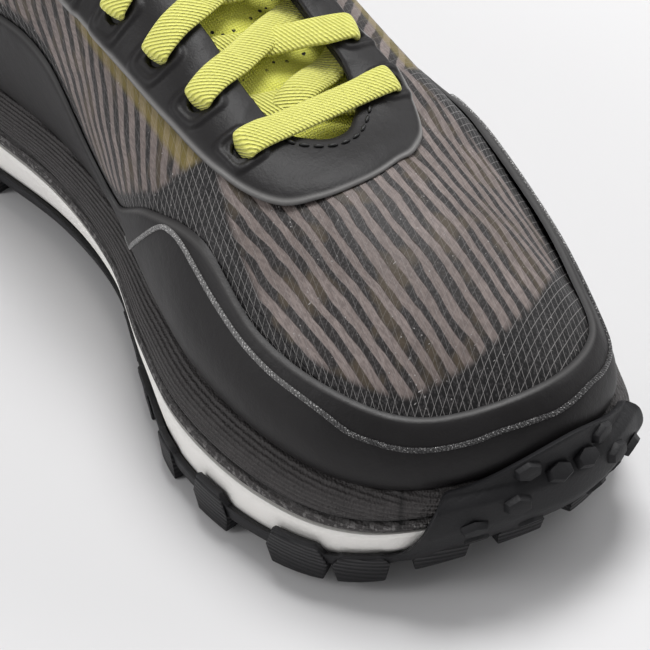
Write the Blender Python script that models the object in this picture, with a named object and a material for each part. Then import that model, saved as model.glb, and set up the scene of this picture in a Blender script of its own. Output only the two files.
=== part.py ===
"""Trail running shoe, left foot, men's EU 42-43, standing empty on its sole.

Metres, +Z up, toe at +X, lateral (outer) side at +Y, origin on the floor under the middle of the sole.
Every surface is read from the stations below. A station number runs round the shoe from the heel (0),
along the medial side to the toe, and back along the lateral side.
"""
import bpy
import bmesh
import numpy as np
from mathutils import Vector

# Whole shoe
LENGTH = 0.300            # outsole, heel to toe
BALL_WIDTH = 0.110        # outsole across the ball
LUG = 0.0045              # height of the main lugs
TOE_SPRING = 0.0115       # rise of the sole at the toe
HEEL_BEVEL = 0.005        # rise of the sole at the back of the heel
HEEL_FOAM = 0.0285        # both foams together, at the heel
BALL_FOAM = 0.0230        # both foams together, at the ball
TOE_FOAM = 0.0175         # both foams together, at the toe
WHITE_SHARE = 0.47        # of the foam's height, the lower, white foam
MIDDLE = 0.5027           # share of LENGTH from the heel at which the origin lies
ASIDE = 0.0005            # origin beside the stations' centre line, towards the lateral side
CLEAR = 0.0003            # between pieces that meet
SEAT = 0.0004             # between the upper and what is moulded over it

# Sole
PLATE = 0.0025            # rubber under the foam
RUBBER = 0.0017           # rubber wall round the foot of the foam
RIM_INSET = 0.0072        # top edge of the foam, in from the widest line

# Upper
WALL = 0.0020             # mesh, film and lining together
RAND = 0.0014             # moulded mudguard
STAY = 0.0014             # moulded frame round the throat
HEEL_HEIGHT = 0.104       # floor to the top of the heel
ANKLE_HEIGHT = 0.083      # floor to the lowest part of the collar
INSTEP_HEIGHT = 0.106     # floor to the top of the throat
VAMP_HEIGHT = 0.0765      # floor to the front of the throat
INSOLE = 0.0040
TONGUE = 0.0035
TONGUE_TOP = 0.032        # beyond the end of the eyestay, along the throat
TONGUE_CROWN = 0.0015     # swell between the edges of the throat

# Lacing
PAIRS = 6                 # of eyelets
EYELET_X = 0.0565         # front pair, ahead of the middle of the sole
EYELET_Y = -0.0010        # middle of the row, off the centre line
EYELET_ACROSS = 0.043     # centre to centre, front pair
EYELET_SPREAD = 0.0006    # each pair wider than the one ahead of it, on each side
EYELET_PITCH = 0.0176     # along the throat
EYELET_RADIUS = 0.0024
LACE_WIDTH = 0.0075
LACE_THICK = 0.0018
LACE_ROOM = 0.0006        # flat lace over the curve of the eyestay

# Stations from heel to toe. x is a share of LENGTH from the heel; medial and lateral are shares of BALL_WIDTH
# from the centre line, at the widest line of the foam; rim and full scale the foam's lean and the rand's foot.
# out and up set the swell of the upper above its foot, as shares of BALL_WIDTH; reach and drop, the roll into
# its top edge. edge_x, edge_m and edge_l place that edge; the rand's top and the eyestay's foot are shares
# of the way up the upper.
COLUMNS = ("x", "medial", "lateral", "rim", "foot", "out_m", "out_l", "up", "reach", "drop",
           "edge_x", "edge_m", "edge_l", "rand_m", "rand_l", "stay_m", "stay_l")
STATIONS = {
    "heel":        (0.000, 0.000, 0.000, 0.70, 0.40, 0.03, 0.03, 0.36, 0.00, 0.34,
                    0.032, 0.000, 0.000, 0.50, 0.50, 0.60, 0.60),
    "heel_corner": (0.022, 0.205, 0.210, 0.70, 0.40, 0.04, 0.04, 0.34, 0.01, 0.32,
                    0.044, 0.135, 0.135, 0.46, 0.46, 0.60, 0.60),
    "heel_side":   (0.090, 0.325, 0.335, 0.70, 0.30, 0.06, 0.06, 0.32, 0.06, 0.28,
                    0.108, 0.243, 0.243, 0.40, 0.40, 0.60, 0.60),
    "rear":        (0.200, 0.352, 0.378, 0.70, 0.30, 0.07, 0.07, 0.28, 0.10, 0.20,
                    0.200, 0.265, 0.270, 0.34, 0.34, 0.60, 0.60),
    "waist":       (0.320, 0.318, 0.400, 0.65, 0.50, 0.08, 0.08, 0.34, 0.12, 0.16,
                    0.290, 0.232, 0.240, 0.36, 0.32, 0.52, 0.80),
    "arch":        (0.440, 0.290, 0.424, 0.60, 0.70, 0.10, 0.08, 0.36, 0.19, 0.10,
                    0.400, 0.118, 0.146, 0.28, 0.32, 0.54, 0.83),
    "midfoot":     (0.550, 0.325, 0.452, 0.60, 0.75, 0.13, 0.09, 0.28, 0.19, 0.06,
                    0.500, 0.106, 0.140, 0.12, 0.32, 0.588, 0.83),
    "joint":       (0.650, 0.418, 0.488, 0.85, 0.50, 0.11, 0.09, 0.20, 0.20, 0.02,
                    0.590, 0.104, 0.135, 0.385, 0.42, 0.652, 0.83),
    "ball":        (0.740, 0.480, 0.500, 1.00, 0.15, 0.10, 0.09, 0.17, 0.22, 0.00,
                    0.655, 0.112, 0.132, 0.514, 0.50, 0.708, 0.81),
    "forefoot":    (0.835, 0.474, 0.462, 0.96, 0.15, 0.09, 0.08, 0.15, 0.24, 0.00,
                    0.692, 0.097, 0.096, 0.410, 0.41, 0.755, 0.80),
    "toe_side":    (0.915, 0.400, 0.385, 0.84, 0.30, 0.075, 0.065, 0.13, 0.30, 0.00,
                    0.708, 0.060, 0.058, 0.360, 0.36, 0.820, 0.835),
    "toe_corner":  (0.972, 0.232, 0.270, 0.62, 0.70, 0.07, 0.06, 0.12, 0.36, 0.00,
                    0.716, 0.028, 0.028, 0.310, 0.31, 0.865, 0.875),
    "toe":         (1.000, -0.045, 0.045, 0.56, 0.80, 0.07, 0.07, 0.12, 0.40, 0.00,
                    0.718, 0.000, 0.000, 0.317, 0.317, 0.885, 0.885),
}
SIDE = len(STATIONS) - 1
LOOP = 2 * SIDE

# Heights along the shoe, by share of LENGTH: lift of the sole, foam height between toe, ball and heel,
# and the height of the upper's top edge.
PROFILE_COLUMNS = ("x", "heel_lift", "toe_lift", "heel_foam", "toe_foam")
PROFILE = (
    (0.00, 1.00, 0.00, 0.97, 0.00),
    (0.04, 0.45, 0.00, 1.00, 0.00),
    (0.10, 0.00, 0.00, 1.00, 0.00),
    (0.35, 0.00, 0.00, 0.93, 0.00),
    (0.50, 0.00, 0.00, 0.55, 0.00),
    (0.65, 0.00, 0.00, 0.12, 0.00),
    (0.75, 0.00, 0.02, 0.00, 0.00),
    (0.85, 0.00, 0.12, 0.00, 0.25),
    (0.93, 0.00, 0.37, 0.00, 0.60),
    (1.00, 0.00, 1.00, 0.00, 1.00),
)

# Side of the foam: height share, and how much of the rim's and of the foot's inset it has there
FLANK = {
    "foot":       (0.000, 0.00, 1.00),
    "white_low":  (0.200, 0.00, 0.45),
    "white_high": (0.430, 0.02, 0.10),
    "roll_foot":  (0.500, 0.14, 0.00),
    "roll_out":   (0.550, 0.02, 0.00),
    "roll_top":   (0.620, 0.10, 0.00),
    "groove":     (0.655, 0.30, 0.00),
    "band_foot":  (0.690, 0.14, 0.00),
    "band":       (0.790, 0.26, 0.00),
    "band_top":   (0.860, 0.42, 0.00),
    "ledge":      (0.940, 0.74, 0.00),
    "rim":        (1.000, 1.00, 0.00),
}

# The rubber's wall round the foam, which at the toe climbs past the rim as a bumper
WRAP = {
    "foot":       (0.000, 0.00, 1.00),
    "low":        (0.200, -0.03, 0.42),
    "high":       (0.430, -0.05, 0.03),
    "widest":     (0.520, -0.07, 0.00),
    "lean":       (0.800, 0.10, 0.00),
    "band":       (0.880, 0.32, 0.00),
    "ledge":      (0.940, 0.56, 0.00),
    "rim":        (1.000, 0.74, 0.00),
    "over_rand":  (1.400, 0.80, 0.00),
}
WRAP_EDGE = 0.07          # level of the rubber's edge along the sides
WRAP_TOP = 1.35           # and of the bumper's at the toe
WRAP_FROM = 10.62         # stations between which it climbs
WRAP_TO = 11.05

# Lugs along the edge: station at the middle, half length in stations, level of the tab that climbs the foam,
# and height as a share of LUG
EDGE_LUGS = (
    (0.00, 0.42, 0.10, 1.0),
    (1.05, 0.36, 0.12, 1.0),
    (1.95, 0.22, 0.12, 1.0),
    (2.60, 0.20, 0.30, 1.0),
    (3.30, 0.22, 0.12, 1.0),
    (4.00, 0.18, 0.10, 1.0),
    (6.35, 0.18, 0.10, 1.0),
    (7.05, 0.20, 0.12, 1.0),
    (7.85, 0.19, 0.14, 1.0),
    (8.60, 0.21, 0.24, 1.0),
    (9.62, 0.31, 0.26, 1.0),
    (10.27, 0.26, 0.12, 1.0),
    (11.00, 0.25, 0.04, 0.6),
    (11.65, 0.20, 0.04, 0.5),
)
LUG_DEPTH = 0.010         # from the edge inwards
TAB_PROUD = 0.0007        # lugs and tabs beyond the rubber's wall

# Chevron lugs inside the edge: place along the shoe as a share of LENGTH, and half width of the row
CHEVRONS = (
    (0.10, 0.18),
    (0.18, 0.20),
    (0.26, 0.19),
    (0.57, 0.20),
    (0.65, 0.27),
    (0.73, 0.30),
    (0.81, 0.29),
    (0.885, 0.22),
)
CHEVRON_LENGTH = 0.009
CHEVRON_SWEEP = 0.009

# Height of the upper's top edge: how much of the way from the ankle to each of the three other heights
TOP_EDGE_COLUMNS = ("x", "heel", "instep", "vamp")
TOP_EDGE = (
    (0.032, 1.000, 0.000, 0.000),
    (0.050, 0.952, 0.000, 0.000),
    (0.108, 0.667, 0.000, 0.000),
    (0.200, 0.143, 0.000, 0.000),
    (0.245, 0.000, 0.000, 0.000),
    (0.300, 0.000, 0.196, 0.000),
    (0.345, 0.000, 0.674, 0.000),
    (0.385, 0.000, 1.000, 0.000),
    (0.430, 0.000, 0.949, 0.051),
    (0.500, 0.000, 0.746, 0.254),
    (0.590, 0.000, 0.407, 0.593),
    (0.655, 0.000, 0.170, 0.830),
    (0.692, 0.000, 0.044, 0.956),
    (0.718, 0.000, 0.000, 1.000),
)


def crom(table, at):
    """Smooth curve through a table's rows, the row number being the parameter."""
    table = np.asarray(table, float)
    at = np.clip(np.asarray(at, float), 0, len(table) - 1)
    i = np.clip(at.astype(int), 0, len(table) - 2)
    f = (at - i).reshape(at.shape + (1,) * (table.ndim - 1))
    p = [table[np.clip(i + k, 0, len(table) - 1)] for k in (-1, 0, 1, 2)]
    return p[1] + 0.5 * f * (p[2] - p[0] + f * (2 * p[0] - 5 * p[1] + 4 * p[2] - p[3]
                                              + f * (3 * (p[1] - p[2]) + p[3] - p[0])))


def round_loop(values, s):
    """The same for a closed loop of LOOP rows."""
    values = np.concatenate([values[-3:], values, values[:4]])
    return crom(values, np.mod(s, LOOP) + 3)


def column(name, lateral=None, mirror=1.0):
    """A station column as a closed loop: the medial side out, the lateral side back."""
    near = [row[COLUMNS.index(name)] for row in STATIONS.values()]
    far = [row[COLUMNS.index(lateral or name)] for row in STATIONS.values()]
    return np.array(near[:-1] + [mirror * v for v in far[:0:-1]])


def along(columns, rows, name, x):
    """A height column at a share of LENGTH."""
    rows = np.array(rows)
    at = np.interp(x, rows[:, 0], np.arange(len(rows)))
    return crom(rows[:, columns.index(name)], at)


def share(x):
    return np.clip(x / LENGTH + MIDDLE, 0, 1)


def ground(x):
    """Underside of the rubber plate, level between heel and ball."""
    u = share(x)
    heel = np.maximum(along(PROFILE_COLUMNS, PROFILE, "heel_lift", u), 0)
    toe = np.maximum(along(PROFILE_COLUMNS, PROFILE, "toe_lift", u), 0)
    return LUG + HEEL_BEVEL * heel + TOE_SPRING * toe


def foam(x):
    """Height of the two foams together."""
    u = share(x)
    return (BALL_FOAM + (HEEL_FOAM - BALL_FOAM) * along(PROFILE_COLUMNS, PROFILE, "heel_foam", u)
            + (TOE_FOAM - BALL_FOAM) * along(PROFILE_COLUMNS, PROFILE, "toe_foam", u))


def sole_z(x, level):
    """Height of a level in the foam, 0 on the rubber and 1 at its rim."""
    return ground(x) + PLATE + CLEAR + level * foam(x)


def outline(s, inset=0.0):
    """Widest line of the foam in plan, moved in by inset."""
    def at(v):
        x = (round_loop(column("x"), v) - MIDDLE) * LENGTH
        y = round_loop(column("medial", "lateral", -1.0), v) * -BALL_WIDTH - ASIDE
        return np.stack([x, y], -1)
    s = np.asarray(s, float)
    p, d = at(s), at(s + 0.01) - at(s - 0.01)
    n = np.stack([d[..., 1], -d[..., 0]], -1) / np.linalg.norm(d, axis=-1, keepdims=True)
    return p - n * np.asarray(inset)[..., None], n


def top_edge(u):
    """Height of the collar and the throat's edge at a share of LENGTH."""
    return (ANKLE_HEIGHT + (HEEL_HEIGHT - ANKLE_HEIGHT) * along(TOP_EDGE_COLUMNS, TOP_EDGE, "heel", u)
            + (INSTEP_HEIGHT - ANKLE_HEIGHT) * along(TOP_EDGE_COLUMNS, TOP_EDGE, "instep", u)
            + (VAMP_HEIGHT - ANKLE_HEIGHT) * along(TOP_EDGE_COLUMNS, TOP_EDGE, "vamp", u))


def upper(s, t, off=0.0):
    """Outer face of the upper: station s round the shoe, t from its foot (0) to its top edge (1)."""
    def at(s, t):
        rim = round_loop(column("rim"), s)
        foot, n = outline(s, RIM_INSET * rim + RAND + SEAT + CLEAR)
        z0 = sole_z(foot[..., 0], 1.0) + CLEAR
        out = round_loop(column("out_m", "out_l"), s) * BALL_WIDTH
        up = round_loop(column("up"), s) * BALL_WIDTH
        reach = round_loop(column("reach"), s) * BALL_WIDTH
        drop = round_loop(column("drop"), s) * BALL_WIDTH
        ex = round_loop(column("edge_x"), s)
        ey = round_loop(column("edge_m", "edge_l", -1.0), s) * -BALL_WIDTH - ASIDE
        ez = top_edge(ex)
        p0 = np.stack([foot[..., 0], foot[..., 1], z0], -1)
        p3 = np.stack([(ex - MIDDLE) * LENGTH, ey, ez], -1)
        away = p0[..., :2] - p3[..., :2]
        away = away / np.maximum(np.linalg.norm(away, axis=-1, keepdims=True), 1e-6)
        p1 = p0 + np.concatenate([n * out[..., None], up[..., None]], -1)
        p2 = p3 + np.concatenate([away * reach[..., None], -drop[..., None]], -1)
        t = np.asarray(t, float)[..., None]
        return (1 - t) ** 3 * p0 + 3 * t * (1 - t) ** 2 * p1 + 3 * t ** 2 * (1 - t) * p2 + t ** 3 * p3
    s, t = np.broadcast_arrays(np.asarray(s, float), np.asarray(t, float))
    e = 0.004
    a = at(s + e, t) - at(s - e, t)
    b = at(s, np.minimum(t + e, 1)) - at(s, np.maximum(t - e, 0))
    n = np.cross(a, b)
    n[..., 2] *= np.clip(t / 0.1, 0, 1)
    n /= np.maximum(np.linalg.norm(n, axis=-1, keepdims=True), 1e-12)
    p = at(s, t) + n * np.asarray(off)[..., None]
    rim = sole_z(p[..., 0], 1.0) + CLEAR
    p[..., 2] = np.where(t < 1e-6, rim, np.maximum(p[..., 2], rim))
    return p


def inset(s, level, table):
    rows = np.array(list(table.values()))
    return RIM_INSET * (np.interp(level, rows[:, 0], rows[:, 1]) * round_loop(column("rim"), s)
                        + np.interp(level, rows[:, 0], rows[:, 2]) * round_loop(column("foot"), s))


def side(s, level, off=0.0, rise=0.0, table=FLANK):
    """The sole's side at a level of the foam, off standing outwards and rise added to its height."""
    level = np.broadcast_to(level, np.shape(s))
    p, _ = outline(s, inset(s, level, table) - off)
    return np.column_stack([p, sole_z(p[:, 0], level) + rise])


# Building the solids
AROUND = 72               # columns round a loft, an even number
SHARP = np.radians(35)    # edges shaded sharp

parts = bpy.data.collections.new("trail_running_shoe")
cutters = bpy.data.collections.new("cutters")
for block in list(bpy.data.objects):
    bpy.data.objects.remove(block)
for group in (parts, cutters):
    bpy.context.scene.collection.children.link(group)


def material(name, colour, roughness, metallic=0.0):
    m = bpy.data.materials.new(name)
    m.use_nodes = True
    bsdf = m.node_tree.nodes["Principled BSDF"]
    bsdf.inputs["Base Color"].default_value = (*colour, 1)
    bsdf.inputs["Roughness"].default_value = roughness
    bsdf.inputs["Metallic"].default_value = metallic
    return m


RUBBER_LOOK = material("outsole_rubber", (0.021, 0.021, 0.024), 0.55)
WHITE_LOOK = material("white_foam", (0.76, 0.74, 0.70), 0.6)
DARK_LOOK = material("dark_foam", (0.065, 0.060, 0.060), 0.7)
FILM_LOOK = material("moulded_film", (0.032, 0.030, 0.030), 0.5)
MESH_LOOK = material("mesh", (0.16, 0.13, 0.12), 0.7)
LIME_LOOK = material("lime_textile", (0.72, 0.78, 0.09), 0.7)
SOCK_LOOK = material("sockliner", (0.05, 0.05, 0.055), 0.85)


def add(name, grids, look, group=None):
    """One object from lofted rings. Each grid is rows of points; rows join to the next, and round the ring."""
    bm = bmesh.new()
    for rows, closed, ends in grids:
        verts = [[bm.verts.new(Vector(p)) for p in row] for row in rows]
        n = len(verts[0])
        for lower, higher in zip(verts, verts[1:] + (verts[:1] if closed else [])):
            for i in range(n):
                j = (i + 1) % n
                bm.faces.new((lower[i], lower[j], higher[j], higher[i]))
        if ends == "strips":
            for ring in (verts[0], verts[-1]):
                for i in range(n // 2):
                    face = [ring[i], ring[i + 1], ring[n - i - 1], ring[-i % n]]
                    bm.faces.new(list(dict.fromkeys(face)))
        elif ends == "faces":
            bm.faces.new(verts[0])
            bm.faces.new(verts[-1])
    bmesh.ops.recalc_face_normals(bm, faces=bm.faces)
    mesh = bpy.data.meshes.new(name)
    bm.to_mesh(mesh)
    bm.free()
    mesh.materials.append(look)
    mesh.shade_smooth()
    mesh.set_sharp_from_angle(angle=SHARP)
    obj = bpy.data.objects.new(name, mesh)
    (group or parts).objects.link(obj)
    if group is cutters:
        obj.hide_render, obj.display_type = True, "WIRE"
    return obj


def boolean(obj, other, operation, use_self=False):
    m = obj.modifiers.new(operation.lower(), "BOOLEAN")
    m.object = other
    m.operation = operation
    m.solver = "EXACT"
    m.use_self = use_self


round_s = np.arange(AROUND) * LOOP / AROUND


def sole_slab(name, levels, look, lift=0.0):
    """A slab of foam between two levels of the flank."""
    rings = [side(round_s, level, rise=lift if i == 0 else 0.0) for i, level in enumerate(levels)]
    return add(name, [(rings, False, "strips")], look)


heights = [row[0] for row in FLANK.values()]
white = [h for h in heights if h < WHITE_SHARE] + [WHITE_SHARE]
dark = [WHITE_SHARE] + [h for h in heights if h > WHITE_SHARE]
sole_slab("midsole_lower", white, WHITE_LOOK)
sole_slab("midsole_upper", dark, DARK_LOOK, CLEAR)


def smooth_step(v):
    v = np.clip(v, 0, 1)
    return v * v * (3 - 2 * v)


# The rubber is a tray: plate, outer wall, edge, inner wall, with its lugs joined on. Between two of the foam's
# columns it has three of its own on each side, where its wall climbs.
between = SIDE - LOOP / AROUND * np.array([3.25, 3.5, 3.75])
tray_s = np.sort(np.concatenate([round_s, between, LOOP - between]))
near_toe = SIDE - np.abs(tray_s - SIDE)
climb = (smooth_step((near_toe - WRAP_FROM) / (WRAP_TO - WRAP_FROM)) * (1.0 - WRAP_EDGE)
         + smooth_step((near_toe - WRAP_TO) / (SIDE - WRAP_TO)) * (WRAP_TOP - 1.0) + WRAP_EDGE)


# The wall stands further off where its edge climbs, because its faces are skewed there
stand = 2 * CLEAR * np.sin(np.pi * np.clip((climb - WRAP_EDGE) / (1 - WRAP_EDGE), 0, 1))


def tray_ring(part, off):
    return np.array([side(np.array([s]), part * top, off + more, 0, WRAP)[0]
                     for s, top, more in zip(tray_s, climb, stand)])


plate_foot = side(tray_s, 0.0, -0.004, -PLATE - CLEAR, WRAP)
plate_edge = side(tray_s, 0.0, RUBBER - 0.0006, -PLATE - CLEAR + 0.0006, WRAP)
outer = [tray_ring(part, CLEAR + RUBBER) for part in (0.0, 0.22, 0.45, 0.68, 0.9)]
lip = [tray_ring(1.0, CLEAR + RUBBER * 0.7), tray_ring(1.0, CLEAR)]
inner = [tray_ring(part, CLEAR) for part in (0.84, 0.62, 0.40, 0.18)]
floor = [side(tray_s, 0.0, CLEAR, -CLEAR, WRAP)]
outsole = add("outsole", [([plate_foot, plate_edge] + outer + lip + inner + floor, False, "strips")], RUBBER_LOOK)


def edge_lug(middle, half, tab, tall):
    """Sections of a lug that hangs from the plate's edge, with a tab up the foam."""
    rows = []
    proud = CLEAR + RUBBER + TAB_PROUD
    bottom = -PLATE - CLEAR - LUG * tall
    for shift in (-1, 0, 1):
        section = (
            (0.62, tab, CLEAR + RUBBER * 0.35, 0.0),
            (0.66, tab - 0.03, proud, 0.0),
            (1.00, 0.0, proud, -PLATE),
            (0.86, 0.0, RUBBER, bottom),
            (0.80, 0.0, RUBBER - LUG_DEPTH * 0.8, bottom),
            (0.92, 0.0, RUBBER - LUG_DEPTH, -PLATE * 0.5),
            (1.00, 0.0, CLEAR + RUBBER * 0.5, -PLATE * 0.5),
        )
        rows.append([side(np.array([middle + shift * half * width]), level, off, rise, WRAP)[0]
                     for width, level, off, rise in section])
    return rows, False, "strips"


lugs = [edge_lug(*row) for row in EDGE_LUGS]
lugs += [edge_lug(LOOP - row[0], *row[1:]) for row in EDGE_LUGS[1:]]


def chevron(at, half, hand):
    """One arm of a chevron lug, pointing to the toe in front and to the heel behind."""
    x0 = (at - MIDDLE) * LENGTH
    sweep = CHEVRON_SWEEP * (1 if at > 0.45 else -1)
    mid = np.interp(at, [0.1, 0.5, 0.75, 1], [0.01, 0.06, 0.01, 0.03]) * BALL_WIDTH - ASIDE
    a, b = 0.035 * BALL_WIDTH, half * BALL_WIDTH
    ring = []
    for z, grow in ((-LUG, 0.0), (0.5 * PLATE, 0.0010)):
        plan = ((x0 + CHEVRON_LENGTH / 2 + grow, a - grow), (x0 + CHEVRON_LENGTH / 2 - sweep + grow, b + grow),
                (x0 - CHEVRON_LENGTH / 2 - sweep * 0.7 - grow, b + grow), (x0 - CHEVRON_LENGTH / 2 - grow, a - grow))
        ring.append([(x, mid + hand * y, ground(np.array([x]))[0] + z) for x, y in plan])
    return ring, False, "strips"


lugs += [chevron(at, half, hand) for at, half in CHEVRONS for hand in (-1, 1)]
boolean(outsole, add("lugs", lugs, RUBBER_LOOK, cutters), "UNION", use_self=True)

# Insole, inside the upper's wall
insole_out = RIM_INSET * round_loop(column("rim"), round_s) + RAND + SEAT + WALL + 3 * CLEAR
insole = []
for level, extra in ((CLEAR, 0.0), (INSOLE * 0.7, 0.0), (INSOLE, 0.0008)):
    p, _ = outline(round_s, insole_out + extra)
    insole.append(np.column_stack([p, sole_z(p[:, 0], 1.0) + level]))
add("insole", [(insole, False, "strips")], SOCK_LOOK)


def band(s, bottom, top, low, high, rows, edge=1.0):
    """Rings of a closed wall on the upper between two heights t, low to high standing off its face."""
    parts_of = np.linspace(0, 1, rows)
    out = [upper(s, bottom + (top - bottom) * f, np.full(len(s), high if f < 1 else low + (high - low) * edge))
           for f in parts_of]
    back = [upper(s, bottom + (top - bottom) * f, np.full(len(s), low)) for f in parts_of[::-1]]
    return out + back


upper_wall = add("upper", [(band(round_s, 0.0, 1.0, -WALL, 0.0, 8), True, None)], MESH_LOOK)
rand_top = round_loop(column("rand_m", "rand_l"), round_s)
add("rand", [(band(round_s, 0.0, rand_top, SEAT, SEAT + RAND, 6, 0.45), True, None)], FILM_LOOK)


def patch(name, outer, inner, look):
    """A closed plate between two grids of points, a row to each section."""
    rings = [list(o) + list(i[::-1]) for o, i in zip(outer, inner)]
    return add(name, [(rings, False, "faces")], look)


def find(x, y, start):
    """Station and height on the upper that lie over a point in plan."""
    s, t = float(start), 0.85
    for _ in range(40):
        p = upper(s, t)[:2] - (x, y)
        e = 1e-3
        ds, dt = (upper(s + e, t)[:2] - upper(s, t)[:2]) / e, (upper(s, t - e)[:2] - upper(s, t)[:2]) / -e
        step = np.linalg.lstsq(np.column_stack([ds, dt]), -p, rcond=None)[0]
        s, t = s + 0.7 * float(step[0]), float(np.clip(t + 0.7 * step[1], 0.4, 0.99))
    return s, t


# Eyestay: a frame round the throat, open at the ankle
STAY_FROM = 14 * LOOP / AROUND
stay_s = round_s[(round_s > STAY_FROM - 0.01) & (round_s < LOOP - STAY_FROM + 0.01)]
stay_foot = round_loop(column("stay_m", "stay_l"), stay_s)
stay_outer, stay_inner = [], []
for s, foot in zip(stay_s, stay_foot):
    t = foot + (1 - foot) * np.linspace(0, 1, 5)
    full = SEAT + STAY
    stay_outer.append(upper(np.full(5, s), t, np.array([SEAT + STAY * 0.4, full, full, full, full])))
    stay_inner.append(upper(np.full(5, s), t, np.full(5, SEAT)))
eyestay = patch("eyestay", stay_outer, stay_inner, FILM_LOOK)

# Eyelets: holes through frame and upper, in two rows
eyelets = {-1: [], 1: []}
for hand, start in ((-1, 8.2), (1, 15.6)):
    x, y = EYELET_X, hand * EYELET_ACROSS / 2 + EYELET_Y
    at = start
    for pair in range(PAIRS):
        at, t = find(x, y, at)
        eyelets[hand].append((at, t))
        x -= EYELET_PITCH * 0.94
        y += hand * EYELET_SPREAD
rings = []
turn = np.linspace(0, 2 * np.pi, 9)[:-1]
for s, t in eyelets[-1] + eyelets[1]:
    centre, along_x = Vector(upper(s, t)), Vector(upper(s + 0.05, t) - upper(s - 0.05, t)).normalized()
    normal = (Vector(upper(s, t, 0.001)) - centre).normalized()
    across = normal.cross(along_x)
    rings.append(([[centre + normal * h + (along_x * np.cos(a) + across * np.sin(a)) * EYELET_RADIUS
                    for a in turn] for h in (-0.005, 0.005)], False, "faces"))
holes = add("eyelet_holes", rings, FILM_LOOK, cutters)
boolean(eyestay, holes, "DIFFERENCE")
boolean(upper_wall, holes, "DIFFERENCE")

# Tongue: hung from the upper ahead of the throat, and lower than the laces behind that
laces_room = WALL + LACE_THICK + LACE_ROOM + 5 * CLEAR
tongue_outer, tongue_inner = [], []
for s in np.linspace(SIDE - 0.9, STAY_FROM + 0.35, 11):
    hung = smooth_step((s - 9.8) / 1.2)
    top = -(laces_room * (1 - hung) + (WALL + SEAT + CLEAR) * hung)
    foot = np.interp(s, [5.0, 7.0, 9.0, 11.1], [0.72, 0.72, 0.82, 0.90])
    grids = []
    for off in (top, top - TONGUE):
        wings = [upper(np.full(3, v), np.linspace(foot, 1, 3), np.full(3, off)) for v in (s, LOOP - s)]
        near, far = wings[0][-1], wings[1][-1]
        f = np.array([0.25, 0.5, 0.75])[:, None]
        crown = TONGUE_CROWN * (1 - hung) * (4 * f * (1 - f)) ** 2
        middle = near + (far - near) * f + crown * np.array([0, 0, 1])
        grids.append(np.concatenate([wings[0], middle, wings[1][::-1]]))
    tongue_outer.append(grids[0])
    tongue_inner.append(grids[1])
for grids in (tongue_outer, tongue_inner):
    way = (grids[-1][4] - grids[-2][4]) / np.linalg.norm(grids[-1][4] - grids[-2][4])
    for share_out, narrow in ((0.4, 0.76), (0.75, 0.68), (1.0, 0.56)):
        base = grids[10]
        grids.append((base - base[4]) * [1, narrow, 1] + base[4] + way * TONGUE_TOP * share_out)
patch("tongue", tongue_outer, tongue_inner, LIME_LOOK)

# Laces: one bar across the front pair, then crossings from each pair to the next
over = SEAT + STAY + CLEAR + LACE_THICK / 2 + LACE_ROOM
under = -(WALL + CLEAR + LACE_THICK / 2 + LACE_ROOM)
UP = np.array([0, 0, 1.0])


def strand(points, normals):
    """Flat lace through points, with the face turned along the normals."""
    at = np.linspace(0, len(points) - 1, 2 * len(points) - 5)
    path, face = crom(points, at), crom(normals, at)
    ways = np.gradient(path, axis=0)
    rows = []
    for p, n, w in zip(path, face, ways):
        across = np.cross(n, w)
        across /= np.linalg.norm(across)
        n = np.cross(w, across)
        n /= np.linalg.norm(n)
        rows.append([p + across * LACE_WIDTH * 0.5 * a + n * LACE_THICK * 0.5 * b
                     for a, b in ((1, 0), (0.8, 1), (-0.8, 1), (-1, 0), (-0.8, -1), (0.8, -1))])
    return rows, False, "faces"


def run(hand, start, goal, off):
    """Points and normals from an eyelet straight towards another, as far as the throat's edge."""
    s, t = start
    p, q = upper(s, t)[:2], upper(*goal)[:2]
    rim_s = np.linspace(SIDE, SIDE + hand * (SIDE - STAY_FROM), 300)
    rim = upper(rim_s, 1.0)[:, :2] - p
    beside = rim[:, 0] * (q - p)[1] - rim[:, 1] * (q - p)[0]
    edge = rim_s[np.argmax(np.sign(beside[1:]) != np.sign(beside[:-1]))]
    half = find(*((p + upper(edge, 1.0)[:2]) / 2), (s + edge) / 2)
    where = [(s, t), half, (edge, 1.0)]
    return [upper(*w, off) for w in where], [upper(*w, 0.001) - upper(*w) for w in where]


def crossing(hand, pair, start, end, lift):
    """From an eyelet of one pair to the other side's eyelet in the pair behind."""
    near, far = eyelets[hand][pair], eyelets[-hand][pair + 1]
    a, a_faces = run(hand, near, far, start)
    b, b_faces = run(-hand, far, near, end)
    slide = 0.14 * (b[2] - a[2])
    points = a + [a[2] + slide, (a[2] + b[2]) / 2 + lift * UP, b[2] - slide] + b[::-1]
    level = (a_faces[2] + b_faces[2]) / 2
    return points, a_faces + [level] * 3 + b_faces[::-1]


left, left_faces = run(-1, eyelets[-1][0], eyelets[1][0], over)
right, right_faces = run(1, eyelets[1][0], eyelets[-1][0], over)
add("lace_bar", [strand(left + right[::-1], left_faces + right_faces[::-1])], LIME_LOOK)
for pair in range(PAIRS - 1):
    start, rise = (under, 0.0020) if pair == 0 else (over, 0.0)
    upper_strand = add(f"lace_crossing_{pair + 1}",
                       [strand(*crossing(-1, pair, start, under, rise + LACE_THICK * 0.25))], LIME_LOOK)
    lower_strand = add(f"lace_under_{pair + 1}",
                       [strand(*crossing(1, pair, start, under, rise - LACE_THICK * 0.25))], LIME_LOOK, cutters)
    boolean(upper_strand, lower_strand, "UNION")
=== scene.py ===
"""Looks of the trail running shoe, a left shoe seen over its inner side.

Metres, +X to the toe, +Y to the outer side, +Z up, origin on the floor under the middle of the shoe.
"""

import bmesh
import bpy
import numpy as np
from mathutils import Matrix, Vector


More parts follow.
